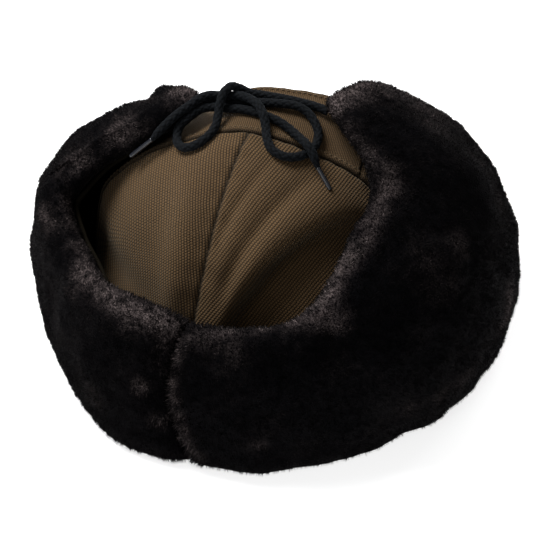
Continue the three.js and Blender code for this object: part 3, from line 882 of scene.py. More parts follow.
@dataclass
class Lace:
    """Round braided lace out of an ear tip, with its aglet on the free end."""

    side: str
    route: Array
    aglet_end: Array
    diameter_mm: float = 4.0
    strands: int = 5
    lay_mm: float = 3.8
    relief_mm: float = 0.75
    sides: int = 32
    ring_mm: float = 0.30
    taper_mm: float = 5.0
    taper_share: float = 0.62
    swell_mm: float = 0.15
    strand_gap_shade_power: float = 3.0
    strand_gap_shade_least: float = 0.02
    end_tone: float = 0.4
    route_steps: int = 4000
    path_step_mm: float = 1.5
    aglet_radius_mm: float = 1.1
    aglet_sides: int = 28

    def centre_line(self, spacing: float) -> Array:
        """Points of the route at an even spacing in millimetres.

        Args:
            spacing: distance between neighbours in millimetres.

        Returns:
            The points.
        """
        t = np.linspace(0, 1, self.route_steps)
        fine = curve_at(self.route, t)
        length = lengths_along(fine)
        count = int(length[-1] / spacing) + 1
        even = np.interp(np.linspace(0, length[-1], count), length, t)
        return curve_at(self.route, even)

    def braid(self) -> Shell:
        """Two families of helical strands pass over and under in turn, each one a round hump.

        Returns:
            The lace's skin, with its relief as tone, which paints shade between the strands.
        """
        centres = self.centre_line(self.ring_mm)
        along = np.arange(len(centres))[:, None] * self.ring_mm
        around = np.arange(self.sides)[None] / self.sides
        right = self.strands * around + along / self.lay_mm
        left = self.strands * around - along / self.lay_mm
        hump_right = np.sqrt(1 - (2 * (right % 1) - 1) ** 2)
        hump_left = np.sqrt(1 - (2 * (left % 1) - 1) ** 2)
        right_over = (np.floor(right) + np.floor(left)) % 2 == 0
        relief = np.where(right_over, hump_right, hump_left)
        from_end = along[-1] - along
        taper = lerp(self.taper_share, 1.0, smoothstep(from_end, 0.0, self.taper_mm))
        radii = (self.diameter_mm / 2 - self.relief_mm * (1 - relief) + self.swell_mm) * taper
        shell = tube(centres, radii)
        # Painted shade: the gaps between strands fall to near black
        skin_tone = np.clip(relief.ravel() ** self.strand_gap_shade_power, self.strand_gap_shade_least, 1)
        shell.tone = np.append(skin_tone, [self.end_tone, self.end_tone])
        return shell

    def aglet(self) -> Shell:
        """A straight sleeve with a crimped collar and a rounded tip.

        Returns:
            The closed sleeve.
        """
        start = self.route[-1]
        length = float(np.linalg.norm(self.aglet_end - start))
        profile = np.array([
            # share of the length, share of the radius
            [0.0, 1.02], [0.03, 1.10], [0.07, 1.10], [0.10, 0.97], [0.16, 0.97], [0.20, 1.0],
            [0.60, 1.0], [0.92, 0.99], [0.965, 0.90], [0.99, 0.66], [1.0, 0.30],
        ])
        centres = start + (self.aglet_end - start) * profile[:, :1]
        radii = np.repeat(profile[:, 1:] * self.aglet_radius_mm, self.aglet_sides, axis=1)
        log.info("aglet_%s is %.1f mm long", self.side, length)
        return tube(centres, radii)

    def build(self, yarn: bpy.types.Material, plastic: bpy.types.Material) -> None:
        """Args:
            yarn: finish of the lace.
            plastic: finish of the aglet.
        """
        lace = self.braid().to_object(f"braided_lace_{self.side}")
        lace.data.materials.append(yarn)
        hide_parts(f"lace_{self.side}")
        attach(lace, "root")
        aglet = self.aglet().to_object(f"lace_aglet_{self.side}")
        aglet.data.materials.append(plastic)
        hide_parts(f"aglet_{self.side}")
        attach(aglet, "root")


# Crown


@dataclass(frozen=True)
class Crease:
    """Line in plan along which the crown's cloth sinks or lifts."""

    start: tuple
    end: tuple
    depth: float
    width: float
    far_width: float


@dataclass(frozen=True)
class Waist:
    """Soft hollow in the crown's left side."""

    deg: float = -62.0
    z: float = 50.0
    depth: float = 5.0
    span_deg: float = 26.0
    span_z: float = 12.0


@dataclass(frozen=True)
class Pucker:
    """Small gathers that a seam leaves in the cloth beside it."""

    height: float
    reach: float
    pitch: float

    def at(self, away: Array, along: Array, start: float = 0.0) -> Array:
        """Lift of the cloth in millimetres.

        Args:
            away: distance from the seam in millimetres.
            along: place along the seam in millimetres.
            start: phase of the gathers in radians.

        Returns:
            Lift at each place.
        """
        return self.height * np.exp(-away / self.reach) * np.sin(2 * np.pi * along / self.pitch + start)


@dataclass(frozen=True)
class StripEdge:
    """Edge of the strip: a raised lip along each seam, a groove under its stitches, and cut ends."""

    lip: float = 0.75
    lip_width: float = 3.4
    lip_ease: float = 1.2
    stitch_inset: float = 2.3
    stitch_groove: float = 0.3
    stitch_width: float = 0.5
    edge_sink: float = 0.9
    edge_width: float = 0.6
    end_sink: float = 0.8
    end_width: float = 0.8
    end_lift: float = 0.25
    end_lift_at: float = 2.2
    end_lift_width: float = 1.2

    def sink(self, to_seam: Array, to_end: Array) -> Array:
        """Depth of the outer face under the strip's plain surface.

        Args:
            to_seam: distance to the nearer seam in millimetres.
            to_end: distance to the nearer cut end in millimetres.

        Returns:
            Depth in millimetres, below zero where the cloth is raised.
        """
        lip = self.lip * smoothstep(self.lip_width - to_seam, 0, self.lip_ease)
        lip -= self.stitch_groove * bell(to_seam - self.stitch_inset, self.stitch_width)
        sink = self.edge_sink * bell(to_seam, self.edge_width) + self.end_sink * bell(to_end, self.end_width)
        lip += self.end_lift * bell(to_end - self.end_lift_at, self.end_lift_width)
        return sink - lip


@dataclass(frozen=True)
class Grain:
    """How a panel is cut: the plane that it faces, the way its ribs run and how its rungs sag."""

    facing: tuple
    rib: tuple
    sag: float = 0.0
    sag_from: float = -35.0
    sag_top: float = 45.0
    sag_fade: float = 30.0

    def map(self, points: Array) -> Array:
        """Straight grain on the plane, with rungs that sag in a parabola to the left and low down.

        Args:
            points: grid of points.

        Returns:
            Places across and along the ribs in millimetres.
        """
        facing = unit(np.array(self.facing, dtype=float))
        along = np.array(self.rib, dtype=float)
        along = unit(along - facing * (along @ facing))
        across, upward = points @ np.cross(along, facing), points @ along
        fade = smoothstep(self.sag_top - upward, 0, self.sag_fade)
        aside = np.maximum(self.sag_from - across, 0)
        return np.stack([across, upward + self.sag * aside ** 2 / 2 * fade], axis=-1)


@dataclass
class Crown:
    """Cloth crown: two neck panels, two front panels and the ear-to-ear strip between them."""

    opening_centre_x: float = -1.0
    opening_half_width: float = 87.0
    opening_neck_half: float = 93.0
    opening_peak_half: float = 88.0
    corner_deg: float = 76.0
    neck_seam_deg: float = -17.0
    peak_seam_deg: float = 180.0
    neck_seam_at: float = 6.3
    peak_seam_at: float = 6.6
    neck_fullness: float = 0.5
    peak_fullness: float = 0.05
    strip_crown: float = 1.0
    left_tick: float = 3.3
    right_tick: float = 9.05
    cloth_mm: float = 2.2
    lining_mm: float = 0.5
    allowance_mm: float = 1.4
    allowance_depth_mm: float = 2.75
    fold_radius_mm: float = 99.0
    panel_near: float = 0.0001
    panel_ends: float = 0.975
    edge_crowding: float = 1.35
    lift_end: float = 1.1
    lift_low: float = 0.8
    lift_ease: float = 0.6
    lift_upward: float = 60.0
    seam_dip_mm: float = 1.0
    strip_dip_mm: float = 1.1
    seam_reach_mm: float = 1.5
    # Painted shade along every seam and cut end: how dark it is, and its reach
    seam_painted_shade: float = 0.8
    seam_painted_shade_mm: float = 1.0
    centre_pucker: Pucker = Pucker(height=0.28, reach=7.0, pitch=12.5)
    strip_pucker: Pucker = Pucker(height=0.22, reach=6.0, pitch=10.5)
    drape_mm: float = 0.35
    drape_length_mm: float = 34.0
    strip_edge: StripEdge = StripEdge()
    crease_overrun: float = 0.15
    crease_start: float = 0.2
    crease_end: float = 0.3
    creases: tuple = (
        # start and end in plan, depth, then the width of the bell on its near and far side
        Crease((58, -24), (-8, -87), -13.5, 4.5, 17),
        Crease((60, -27), (0, -82), -2.2, 2.2, 3.5),
        Crease((38, -20), (-4, -70), 3.0, 7, 7),
        Crease((24, -24), (-12, -74), -3.0, 3.5, 3.5),
        Crease((6, -20), (-16, -60), -2.2, 3, 3),
        Crease((-11, -16), (-25, -80), -2.5, 7, 7),
        Crease((-36, -16), (-34, -78), 2.5, 8, 8),
    )
    waist: Waist = Waist()

    def strip_seam(self, side: Side, place: Array) -> Array:
        """Seam of the strip on one side.

        Args:
            side: neck side or peak side.
            place: places in rows of the strip's table.

        Returns:
            Points of the seam.
        """
        columns = [0, 1, 2] if side is Side.NECK else [0, 3, 4]
        return row_at(STRIP_ROWS[:, columns], place)

    def opening_point(self, deg: Array) -> Array:
        """Edge of the opening: an ellipse with its own half length at the neck and the peak.

        Args:
            deg: angles from the neck in degrees.

        Returns:
            Points of the edge.
        """
        angle = np.radians(deg)
        half = np.where(np.cos(angle) > 0, self.opening_neck_half, self.opening_peak_half)
        return np.stack([
            self.opening_centre_x + self.opening_half_width * np.sin(angle),
            -half * np.cos(angle),
            0 * angle,
        ], axis=-1)

    def crease_lift(self, points: Array) -> Array:
        """Sum of the creases: each fades past its ends and falls off as a bell beside its line.

        Args:
            points: places on the crown.

        Returns:
            Lift of the cloth in millimetres.
        """
        lift = np.zeros(points.shape[:-1])
        for crease in self.creases:
            start, line = np.array(crease.start, dtype=float), np.subtract(crease.end, crease.start)
            offset = points[..., :2] - start
            along = offset @ line / (line @ line)
            aside = (offset[..., 0] * line[1] - offset[..., 1] * line[0]) / np.linalg.norm(line)
            reach = smoothstep(along, -self.crease_overrun, self.crease_start)
            reach = reach * smoothstep(1 + self.crease_overrun - along, 0, self.crease_end)
            width = np.where(aside < 0, crease.far_width, crease.width)
            lift += crease.depth * reach * bell(aside, width)
        deg = np.degrees(np.arctan2(points[..., 0], -points[..., 1]))
        around = (deg - self.waist.deg) / self.waist.span_deg
        high = (points[..., 2] - self.waist.z) / self.waist.span_z
        return lift - self.waist.depth * np.exp(-around * around - high * high)

    def half(self, side: Side) -> Surface:
        """Half of the crown: a cubic from the opening, rising upright, to the strip's seam.

        Args:
            side: neck half or peak half.

        Returns:
            Surface of place, -1 to 1 round from one end of the strip, and v, 0 to 1 upwards.
        """
        neck = side is Side.NECK
        last = len(STRIP_ROWS) - 1
        ends = (0, last) if neck else (last, 0)
        seam_at = self.neck_seam_at if neck else self.peak_seam_at
        seam_deg = self.neck_seam_deg if neck else self.peak_seam_deg
        middle_deg = 0.0 if neck else 180.0
        fullness = self.neck_fullness if neck else self.peak_fullness

        def surface(place: Array, v: Array) -> Array:
            """Point of this half.

            Args:
                place: -1 to 1 round from one end of the strip to the other.
                v: 0 at the opening to 1 at the strip.

            Returns:
                One point for each pair.
            """
            place, v = np.broadcast_arrays(np.asarray(place, float), np.asarray(v, float))
            share = np.abs(place)
            corner = middle_deg + np.where(place < 0, -self.corner_deg, self.corner_deg)
            bottom = self.opening_point(lerp(seam_deg, corner, share))
            top = self.strip_seam(side, lerp(seam_at, np.where(place < 0, ends[0], ends[1]), share))
            low = bottom.copy()
            low[..., 2] += fullness * (top[..., 2] - bottom[..., 2])
            high = top.copy()
            high[..., :2] += fullness * (bottom[..., :2] - top[..., :2])
            w = v[..., None]
            point = (1 - w) ** 3 * bottom + 3 * (1 - w) ** 2 * w * low
            point = point + 3 * (1 - w) * w ** 2 * high + w ** 3 * top
            if neck:
                # Creases fade at the opening, at the strip and at the ends of this half
                inside = (v > 0) & (v < 1)
                arch = np.clip(v * self.lift_end, 0, 1) ** self.lift_low
                fade = np.maximum(np.sin(np.pi * arch), 0) ** self.lift_ease * (1 - share ** 6)
                lift = self.crease_lift(point) * np.where(inside, fade, 0)
                outward = unit(np.stack([point[..., 0], point[..., 1], self.lift_upward * v], axis=-1))
                point = point + outward * lift[..., None]
            return point

        return surface

    def strip(self, place: Array, across: Array) -> Array:
        """Point of the strip: straight across between its seams and slightly crowned.

        Args:
            place: places in rows of the strip's table.
            across: 0 at the neck seam to 1 at the peak seam.

        Returns:
            Points of the strip.
        """
        place, across = np.broadcast_arrays(np.asarray(place, float), np.asarray(across, float))
        last = len(STRIP_ROWS) - 1
        neck, peak = self.strip_seam(Side.NECK, place), self.strip_seam(Side.PEAK, place)
        reach = 0.05
        ahead = self.strip_seam(Side.NECK, np.minimum(place + reach, last))
        along = ahead - self.strip_seam(Side.NECK, np.maximum(place - reach, 0))
        outward = unit(np.stack([-along[..., 2], 0 * place, along[..., 0]], axis=-1))
        lift = self.strip_crown * np.sin(np.pi * across) * np.sin(np.pi * place / last)
        return lerp(neck, peak, across[..., None]) + outward * lift[..., None]

    def wall(
        self,
        surface: Surface,
        places: tuple,
        sink: Array,
        tone: Array,
        size_mm: tuple,
        cut: Grain | None = None,
    ) -> Shell:
        """Cloth wall: the surface sunk by its seams, and an inner face one cloth inside it.

        Args:
            surface: outer surface of the panel.
            places: places along and places up.
            sink: (along, up) depth by which the outer face is sunk.
            tone: (along, up) tone of the cloth, with painted shade in its seams.
            size_mm: width and height of the panel, for its grain map.
            cut: its straight grain, or None where the grain follows its edges.

        Returns:
            The closed wall.
        """
        us, vs = places
        u, v = np.meshgrid(us, vs, indexing="ij")
        base = surface(u, v)
        inner_u = np.clip(u, us[0] + SLOPE_STEP, us[-1] - SLOPE_STEP)
        normal = normal_at(surface, inner_u, np.clip(v, 2 * SLOPE_STEP, 1 - 2 * SLOPE_STEP))
        outer = base - normal * sink[..., None]
        inner = base - normal * (self.cloth_mm + self.lining_mm)
        loops = np.concatenate([outer, inner[:, ::-1]], axis=1)
        loops[..., 2] = np.maximum(loops[..., 2], 0.0)
        shell = loft(loops)
        grain = np.stack([
            (u - us[0]) / (us[-1] - us[0]) * size_mm[0],
            (v - vs[0]) / (vs[-1] - vs[0]) * size_mm[1],
        ], axis=-1)
        if cut is not None:
            grain = cut.map(base)
        shell.uv = np.concatenate([grain, grain[:, ::-1]], axis=1).reshape(-1, 2)
        shell.tone = np.concatenate([tone, tone[:, ::-1]], axis=1).ravel()
        return shell

    def panel(self, side: Side, right: bool, steps: tuple, cut: Grain) -> tuple[Shell, tuple]:
        """One panel of a half, rolled down at its centre seam and under the strip's lip.

        Args:
            side: neck half or peak half.
            right: whether it is the part of the half with positive places.
            steps: steps along and up.
            cut: its straight grain.

        Returns:
            The panel and its flat width and height in millimetres.
        """
        surface = self.half(side)
        near, crowding = self.panel_near, self.edge_crowding
        us = near + (self.panel_ends - near) * np.linspace(0, 1, steps[0]) ** crowding
        us = us if right else -us[::-1]
        vs = 1 - (1 - np.linspace(0, 1, steps[1])) ** crowding
        u, v = np.meshgrid(us, vs, indexing="ij")
        grid = surface(u, v)
        across = spans(grid, 0)
        upward = spans(grid, 1)
        size = (float(across.mean()), float(upward.mean()))
        to_seam = np.abs(u) / self.panel_ends * across[None]
        to_strip = (1 - v) * upward[:, None]
        sink = self.seam_dip_mm * bell(to_seam, self.seam_reach_mm)
        sink = np.maximum(sink, self.strip_dip_mm * bell(to_strip, self.seam_reach_mm))
        pucker = self.centre_pucker.at(to_seam, v * upward[:, None], 1.0)
        pucker += self.strip_pucker.at(to_strip, np.abs(u) * size[0])
        drape = self.drape_mm * ripple(grid, self.drape_length_mm, SEED) * np.sin(np.pi * v)
        tone = self.seam_shade(np.minimum(to_seam, to_strip))
        return self.wall(surface, (us, vs), sink - pucker - drape, tone, size, cut), size

    def seam_shade(self, away: Array) -> Array:
        """Tone of the cloth at a distance from a seam: painted shade in it, full past its reach."""
        return 1 - self.seam_painted_shade * bell(away, self.seam_painted_shade_mm)

    def strip_length(self, span: tuple, steps: tuple) -> tuple[Shell, tuple]:
        """One length of the strip, with a raised lip along its two seams and its cut ends.

        Args:
            span: first and last place in rows.
            steps: steps along and across.

        Returns:
            The length and its flat length and width in millimetres.
        """
        us = np.linspace(*span, steps[0])
        vs = np.linspace(0, 1, steps[1])
        u, v = np.meshgrid(us, vs, indexing="ij")
        grid = self.strip(u, v)
        length = spans(grid, 0).mean()
        width = spans(grid, 1)
        to_seam = np.minimum(v, 1 - v) * width[:, None]
        share = (u - us[0]) / (us[-1] - us[0])
        to_end = np.minimum(share, 1 - share) * length
        sink = self.strip_edge.sink(to_seam, to_end)
        size = (float(length), float(width.mean()))
        tone = self.seam_shade(np.minimum(to_seam, to_end))
        return self.wall(self.strip, (us, vs), sink, tone, size), size

    def stitches(self) -> Shell:
        """Topstitches along both seams of the strip: small rounded bars, each a low tube.

        Returns:
            All bars as one shell.
        """
        pitch, gap, raised, hump, margin = 2.6, 0.8, 0.7, 0.35, 0.4
        bar = np.array([[0.12], [0.3], [0.34], [0.3], [0.12]])
        inset = self.strip_edge.stitch_inset
        last = len(STRIP_ROWS) - 1
        bars = []
        for side_share in (0.0, 1.0):
            t = np.linspace(margin, last - margin, 1600)
            width = np.linalg.norm(self.strip(t, 1 + 0 * t) - self.strip(t, 0 * t), axis=-1)
            across = np.abs(side_share - inset / width)
            line = self.strip(t, across)
            length = lengths_along(line)
            for start in np.arange(0, length[-1] - pitch, pitch):
                at = np.interp(start + np.linspace(0, pitch - gap, len(bar)), length, t)
                share = np.interp(at, t, across)
                normal = normal_at(self.strip, at, share)
                arch = np.sin(np.pi * np.linspace(0, 1, len(bar)))[:, None]
                centres = self.strip(at, share) + normal * (raised - hump + hump * arch)
                bars.append(tube(centres, np.repeat(bar, 6, axis=1)))
        return join_shells(bars)

    def seam_allowances(self) -> Shell:
        """Cut edges turned inside behind each seam: a round ridge that follows the seam under the cloth.

        Returns:
            All ridges as one shell.
        """
        to_neck_or_peak, sides = 0.25, 8
        v = np.linspace(0.01, 1, 60)
        last = len(STRIP_ROWS) - 1
        t = np.linspace(0.2, last - 0.2, 160)
        lines = [(self.half(side), self.panel_near + 0 * v, v, 0.0) for side in Side]
        lines += [(self.strip, t, edge + 0 * t, to_neck_or_peak * (2 * edge - 1)) for edge in (0.0, 1.0)]
        ridges = []
        for surface, u, w, sideways in lines:
            inner_w = np.clip(w, 2 * SLOPE_STEP, 1 - 2 * SLOPE_STEP)
            normal = normal_at(surface, np.clip(u, SLOPE_STEP, last), inner_w)
            normal = unit(normal + (0.0, sideways, 0.0))
            centres = surface(u, w) - normal * self.allowance_depth_mm
            centres[:, 2] = np.maximum(centres[:, 2], 2 * self.allowance_mm)
            ridges.append(tube(centres, np.full((len(u), sides), self.allowance_mm)))
        ridge = join_shells(ridges)
        ridge.uv = ridge.points[:, :2]
        return ridge

    def rim_fold(self) -> tuple[Shell, tuple]:
        """Fold at the foot where the flap turns up: a flat ring from the crown's edge to the flap.

        Returns:
            The ring and its flat length and width in millimetres.
        """
        inset, low, high = 1.0, 0.3, 1.5
        deg = np.linspace(-180, 180, 181)[:-1]
        inner = self.opening_point(deg) * (1 - inset / self.opening_half_width)
        outer = polar(deg, np.full(len(deg), self.fold_radius_mm), 0 * deg)
        ring = []
        for share, height in ((0.0, low), (1.0, low), (1.0, high), (0.0, high)):
            edge = lerp(inner, outer, share)
            edge[..., 2] = height
            ring.append(edge)
        loops = np.stack(ring, axis=1)
        shell = loft(loops, closed_ends=False)
        k, end = np.arange(4), 4 * (len(loops) - 1)
        nxt = (k + 1) % 4
        closing = np.stack([end + k, k, nxt, end + nxt], axis=-1)
        shell.quads = np.vstack([shell.quads, closing])
        shell.uv = shell.points[:, :2]
        length = float(spans(lerp(inner, outer, 0.5), 0))
        width = float(np.linalg.norm(outer - inner, axis=-1).mean())
        return shell, (length, width)

    def build(self, thread: bpy.types.Material, plain: bpy.types.Material) -> None:
        """Args:
            thread: finish of the stitches.
            plain: finish of the hidden cloth behind the seams and at the foot.
        """
        cloth = WaffleCloth().make()
        # Right neck panel's cloth: its own rib and bead pitch, and a lower rung power that widens the painted
        # groove shade so that the panel reads darker
        ribbed_shaded = WaffleCloth(name="ribbed_shaded_waffle_cloth", rib_mm=1.45, bead_mm=1.15, rung_power=0.45).make()
        fine = WaffleCloth(name="fine_waffle_cloth", rib_mm=1.05, bead_mm=0.95, relief=0.0003).make()
        left_cut = Grain(facing=(0.0, -0.7, 0.71), rib=(-0.14, 0.68, 0.72), sag=0.014)
        right_cut = Grain(facing=(0.15, -0.7, 0.7), rib=(0.53, 0.65, 0.54))
        peak_cut = Grain(facing=(0.0, 0.7, 0.7), rib=(0.0, -0.7, 0.7))
        panels = (
            ("neck_panel_left", "crown_neck_left", Side.NECK, False, (120, 110), left_cut, cloth),
            ("neck_panel_right", "crown_neck_right", Side.NECK, True, (150, 110), right_cut, ribbed_shaded),
            ("peak_panel_right", "crown_peak_right", Side.PEAK, False, (60, 50), peak_cut, cloth),
            ("peak_panel_left", "crown_peak_left", Side.PEAK, True, (60, 50), peak_cut, cloth),
        )
        for name, node, side, right, steps, cut, finish in panels:
            shell, size = self.panel(side, right, steps, cut)
            self.finish_piece(shell, name, node, finish, size)
        last = len(STRIP_ROWS) - 1.0
        lengths = (
            ("side_strip_left", "crown_side_left", (0.0, self.left_tick), (50, 40), cloth),
            ("top_strip", "crown_top", (self.left_tick, self.right_tick), (150, 48), fine),
            ("side_strip_right", "crown_side_right", (self.right_tick, last), (60, 40), cloth),
        )
        for name, node, span, steps, finish in lengths:
            shell, size = self.strip_length(span, steps)
            self.finish_piece(shell, name, node, finish, size)
        fold, size = self.rim_fold()
        for shell, name, finish, slot in (
            (self.stitches(), "strip_topstitch", thread, "crown_cloth"),
            (self.seam_allowances(), "seam_allowances", plain, "crown_cloth"),
            (fold, "rim_fold", plain, "facing_cloth"),
        ):
            piece = shell.to_object(name)
            piece.data.materials.append(finish)
            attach(piece, "root")
            log.info("%s: %d faces", name, len(piece.data.polygons))
        log.info("rim_fold: flat %.0f x %.0f mm", *size)

    def finish_piece(
        self,
        shell: Shell,
        name: str,
        node: str,
        cloth: bpy.types.Material,
        size: tuple,
    ) -> None:
        """Args:
            shell: the piece's mesh.
            name: its name.
            node: the CAD node that it replaces.
            cloth: its finish.
            size: its flat size in millimetres.
        """
        piece = shell.to_object(name)
        piece.data.materials.append(cloth)
        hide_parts(node)
        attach(piece, "root")
        log.info("%s: flat %.0f x %.0f mm, %d faces", name, *size, len(piece.data.polygons))


# Fur


# Painted highlights, spots of painted light on the pile's tips, first on the left half: the tip,
# the upper outside, the inner rim down to the neck, low down and the groove
LEFT_HIGHLIGHT_PATCHES = np.array([
    # x, y, z, reach, strength
    [-44, 9, 122, 8, 0.8], [-50, 4, 121, 6, 0.25], [-65, 12, 111, 7, 0.12],
    [-74, -15, 108, 6, 0.45], [-71, -8, 111, 5, 0.2], [-63, -14, 113, 5, 0.2],
    [-92, -22, 95, 7, 0.25], [-99, -24, 90, 6, 0.15], [-106, -42, 76, 4, 0.4],
    [-100, -48, 76, 5, 0.25], [-95, -37, 81, 5, 0.2], [-89, -44, 75, 5, 0.3],
    [-81, -57, 74, 6, 0.35], [-75, -69, 75, 6, 0.4], [-70, -79, 76, 6, 0.5],
    [-77, -76, 74, 5, 0.4], [-79, -82, 70, 5, 0.2], [-63, -87, 77, 6, 0.6],
    [-57, -92, 77, 6, 0.5], [-48, -96, 77, 6, 0.65], [-38, -99, 77, 6, 0.7],
    [-31, -101, 76, 5, 0.65], [-25, -103, 74, 4, 0.6], [-45, -103, 72, 5, 0.15],
    [-52, -100, 72, 5, 0.12], [-40, -115, 46, 4, 0.35], [-31, -117, 27, 4, 0.25],
    [-30, -109, 69, 4, 0.2], [-30, -112, 58, 4, 0.15], [-65, -106, 25, 6, 0.1],
], dtype=float)
# Painted highlights on the right half: the lip at the neck groove, the rim, the wedge at the crown's corner,
# the tip, the outer side and low down
RIGHT_HIGHLIGHT_PATCHES = np.array([
    # x, y, z, reach, strength
    [-22, -106, 72, 4, 0.35], [-25, -109, 67, 4, 0.4], [-26, -112, 61, 3.5, 0.45],
    [-26, -114, 50, 3.5, 0.45], [-25, -116, 42, 3.5, 0.45], [-23, -117, 33, 3.5, 0.4],
    [-21, -118, 25, 3.5, 0.4], [-18, -119, 17, 4, 0.35], [-14, -120, 9, 4, 0.3],
    [-11, -104, 75, 5, 0.25], [-1, -101, 77, 4, 0.3], [13, -98, 79, 4, 0.3],
    [26, -94, 80, 4, 0.35], [-1, -109, 73, 9, 0.12], [33, -90, 82, 5, 0.45],
    [37, -85, 85, 5, 0.7], [39, -79, 89, 5, 0.75], [41, -73, 91, 5, 0.65],
    [44, -67, 94, 5, 0.6], [47, -62, 98, 5, 0.65], [44, -83, 88, 4, 0.35],
    [50, -88, 80, 4, 0.25], [43, -91, 81, 4, 0.3], [53, -55, 101, 5, 0.25],
    [54, -47, 105, 5, 0.35], [56, -38, 108, 5, 0.3], [58, -30, 113, 5, 0.35],
    [57, -24, 116, 5, 0.3], [50, -19, 118, 4, 0.25], [27, 1, 130, 5, 0.65],
    [29, 7, 132, 6, 0.65], [34, 12, 132, 7, 0.5], [42, 21, 127, 9, 0.35],
    [52, 33, 116, 12, 0.3], [68, 30, 112, 12, 0.2], [35, -8, 124, 4, 0.3],
    [39, -11, 121, 4, 0.25], [44, -15, 119, 4, 0.25], [75, 12, 115, 8, 0.1],
    [94, -41, 93, 6, 0.15], [80, -54, 96, 8, 0.07], [89, -61, 85, 10, 0.06],
    [118, -20, 49, 5, 0.25], [118, -22, 38, 6, 0.45], [116, -34, 40, 5, 0.25],
    [93, -73, 25, 6, 0.12], [103, -60, 26, 6, 0.12], [81, -86, 27, 6, 0.08],
    [16, -119, 22, 4, 0.15], [94, 12, 100, 6, 0.1], [106, 0, 85, 6, 0.1],
], dtype=float)


@dataclass(frozen=True)
class Mottle:
    """Soft variation of the fur's tone: two ripples round a base, kept between two limits."""

    base: float
    broad: float
    broad_mm: float
    broad_seed: int
    fine: float
    fine_mm: float
    fine_seed: int
    limits: tuple

    def at(self, points: Array, seed: int) -> Array:
        """The variation at some places, with a flap's own seed."""
        tone = self.base + self.broad * ripple(points, self.broad_mm, seed + self.broad_seed)
        return np.clip(tone + self.fine * ripple(points, self.fine_mm, seed + self.fine_seed), *self.limits)


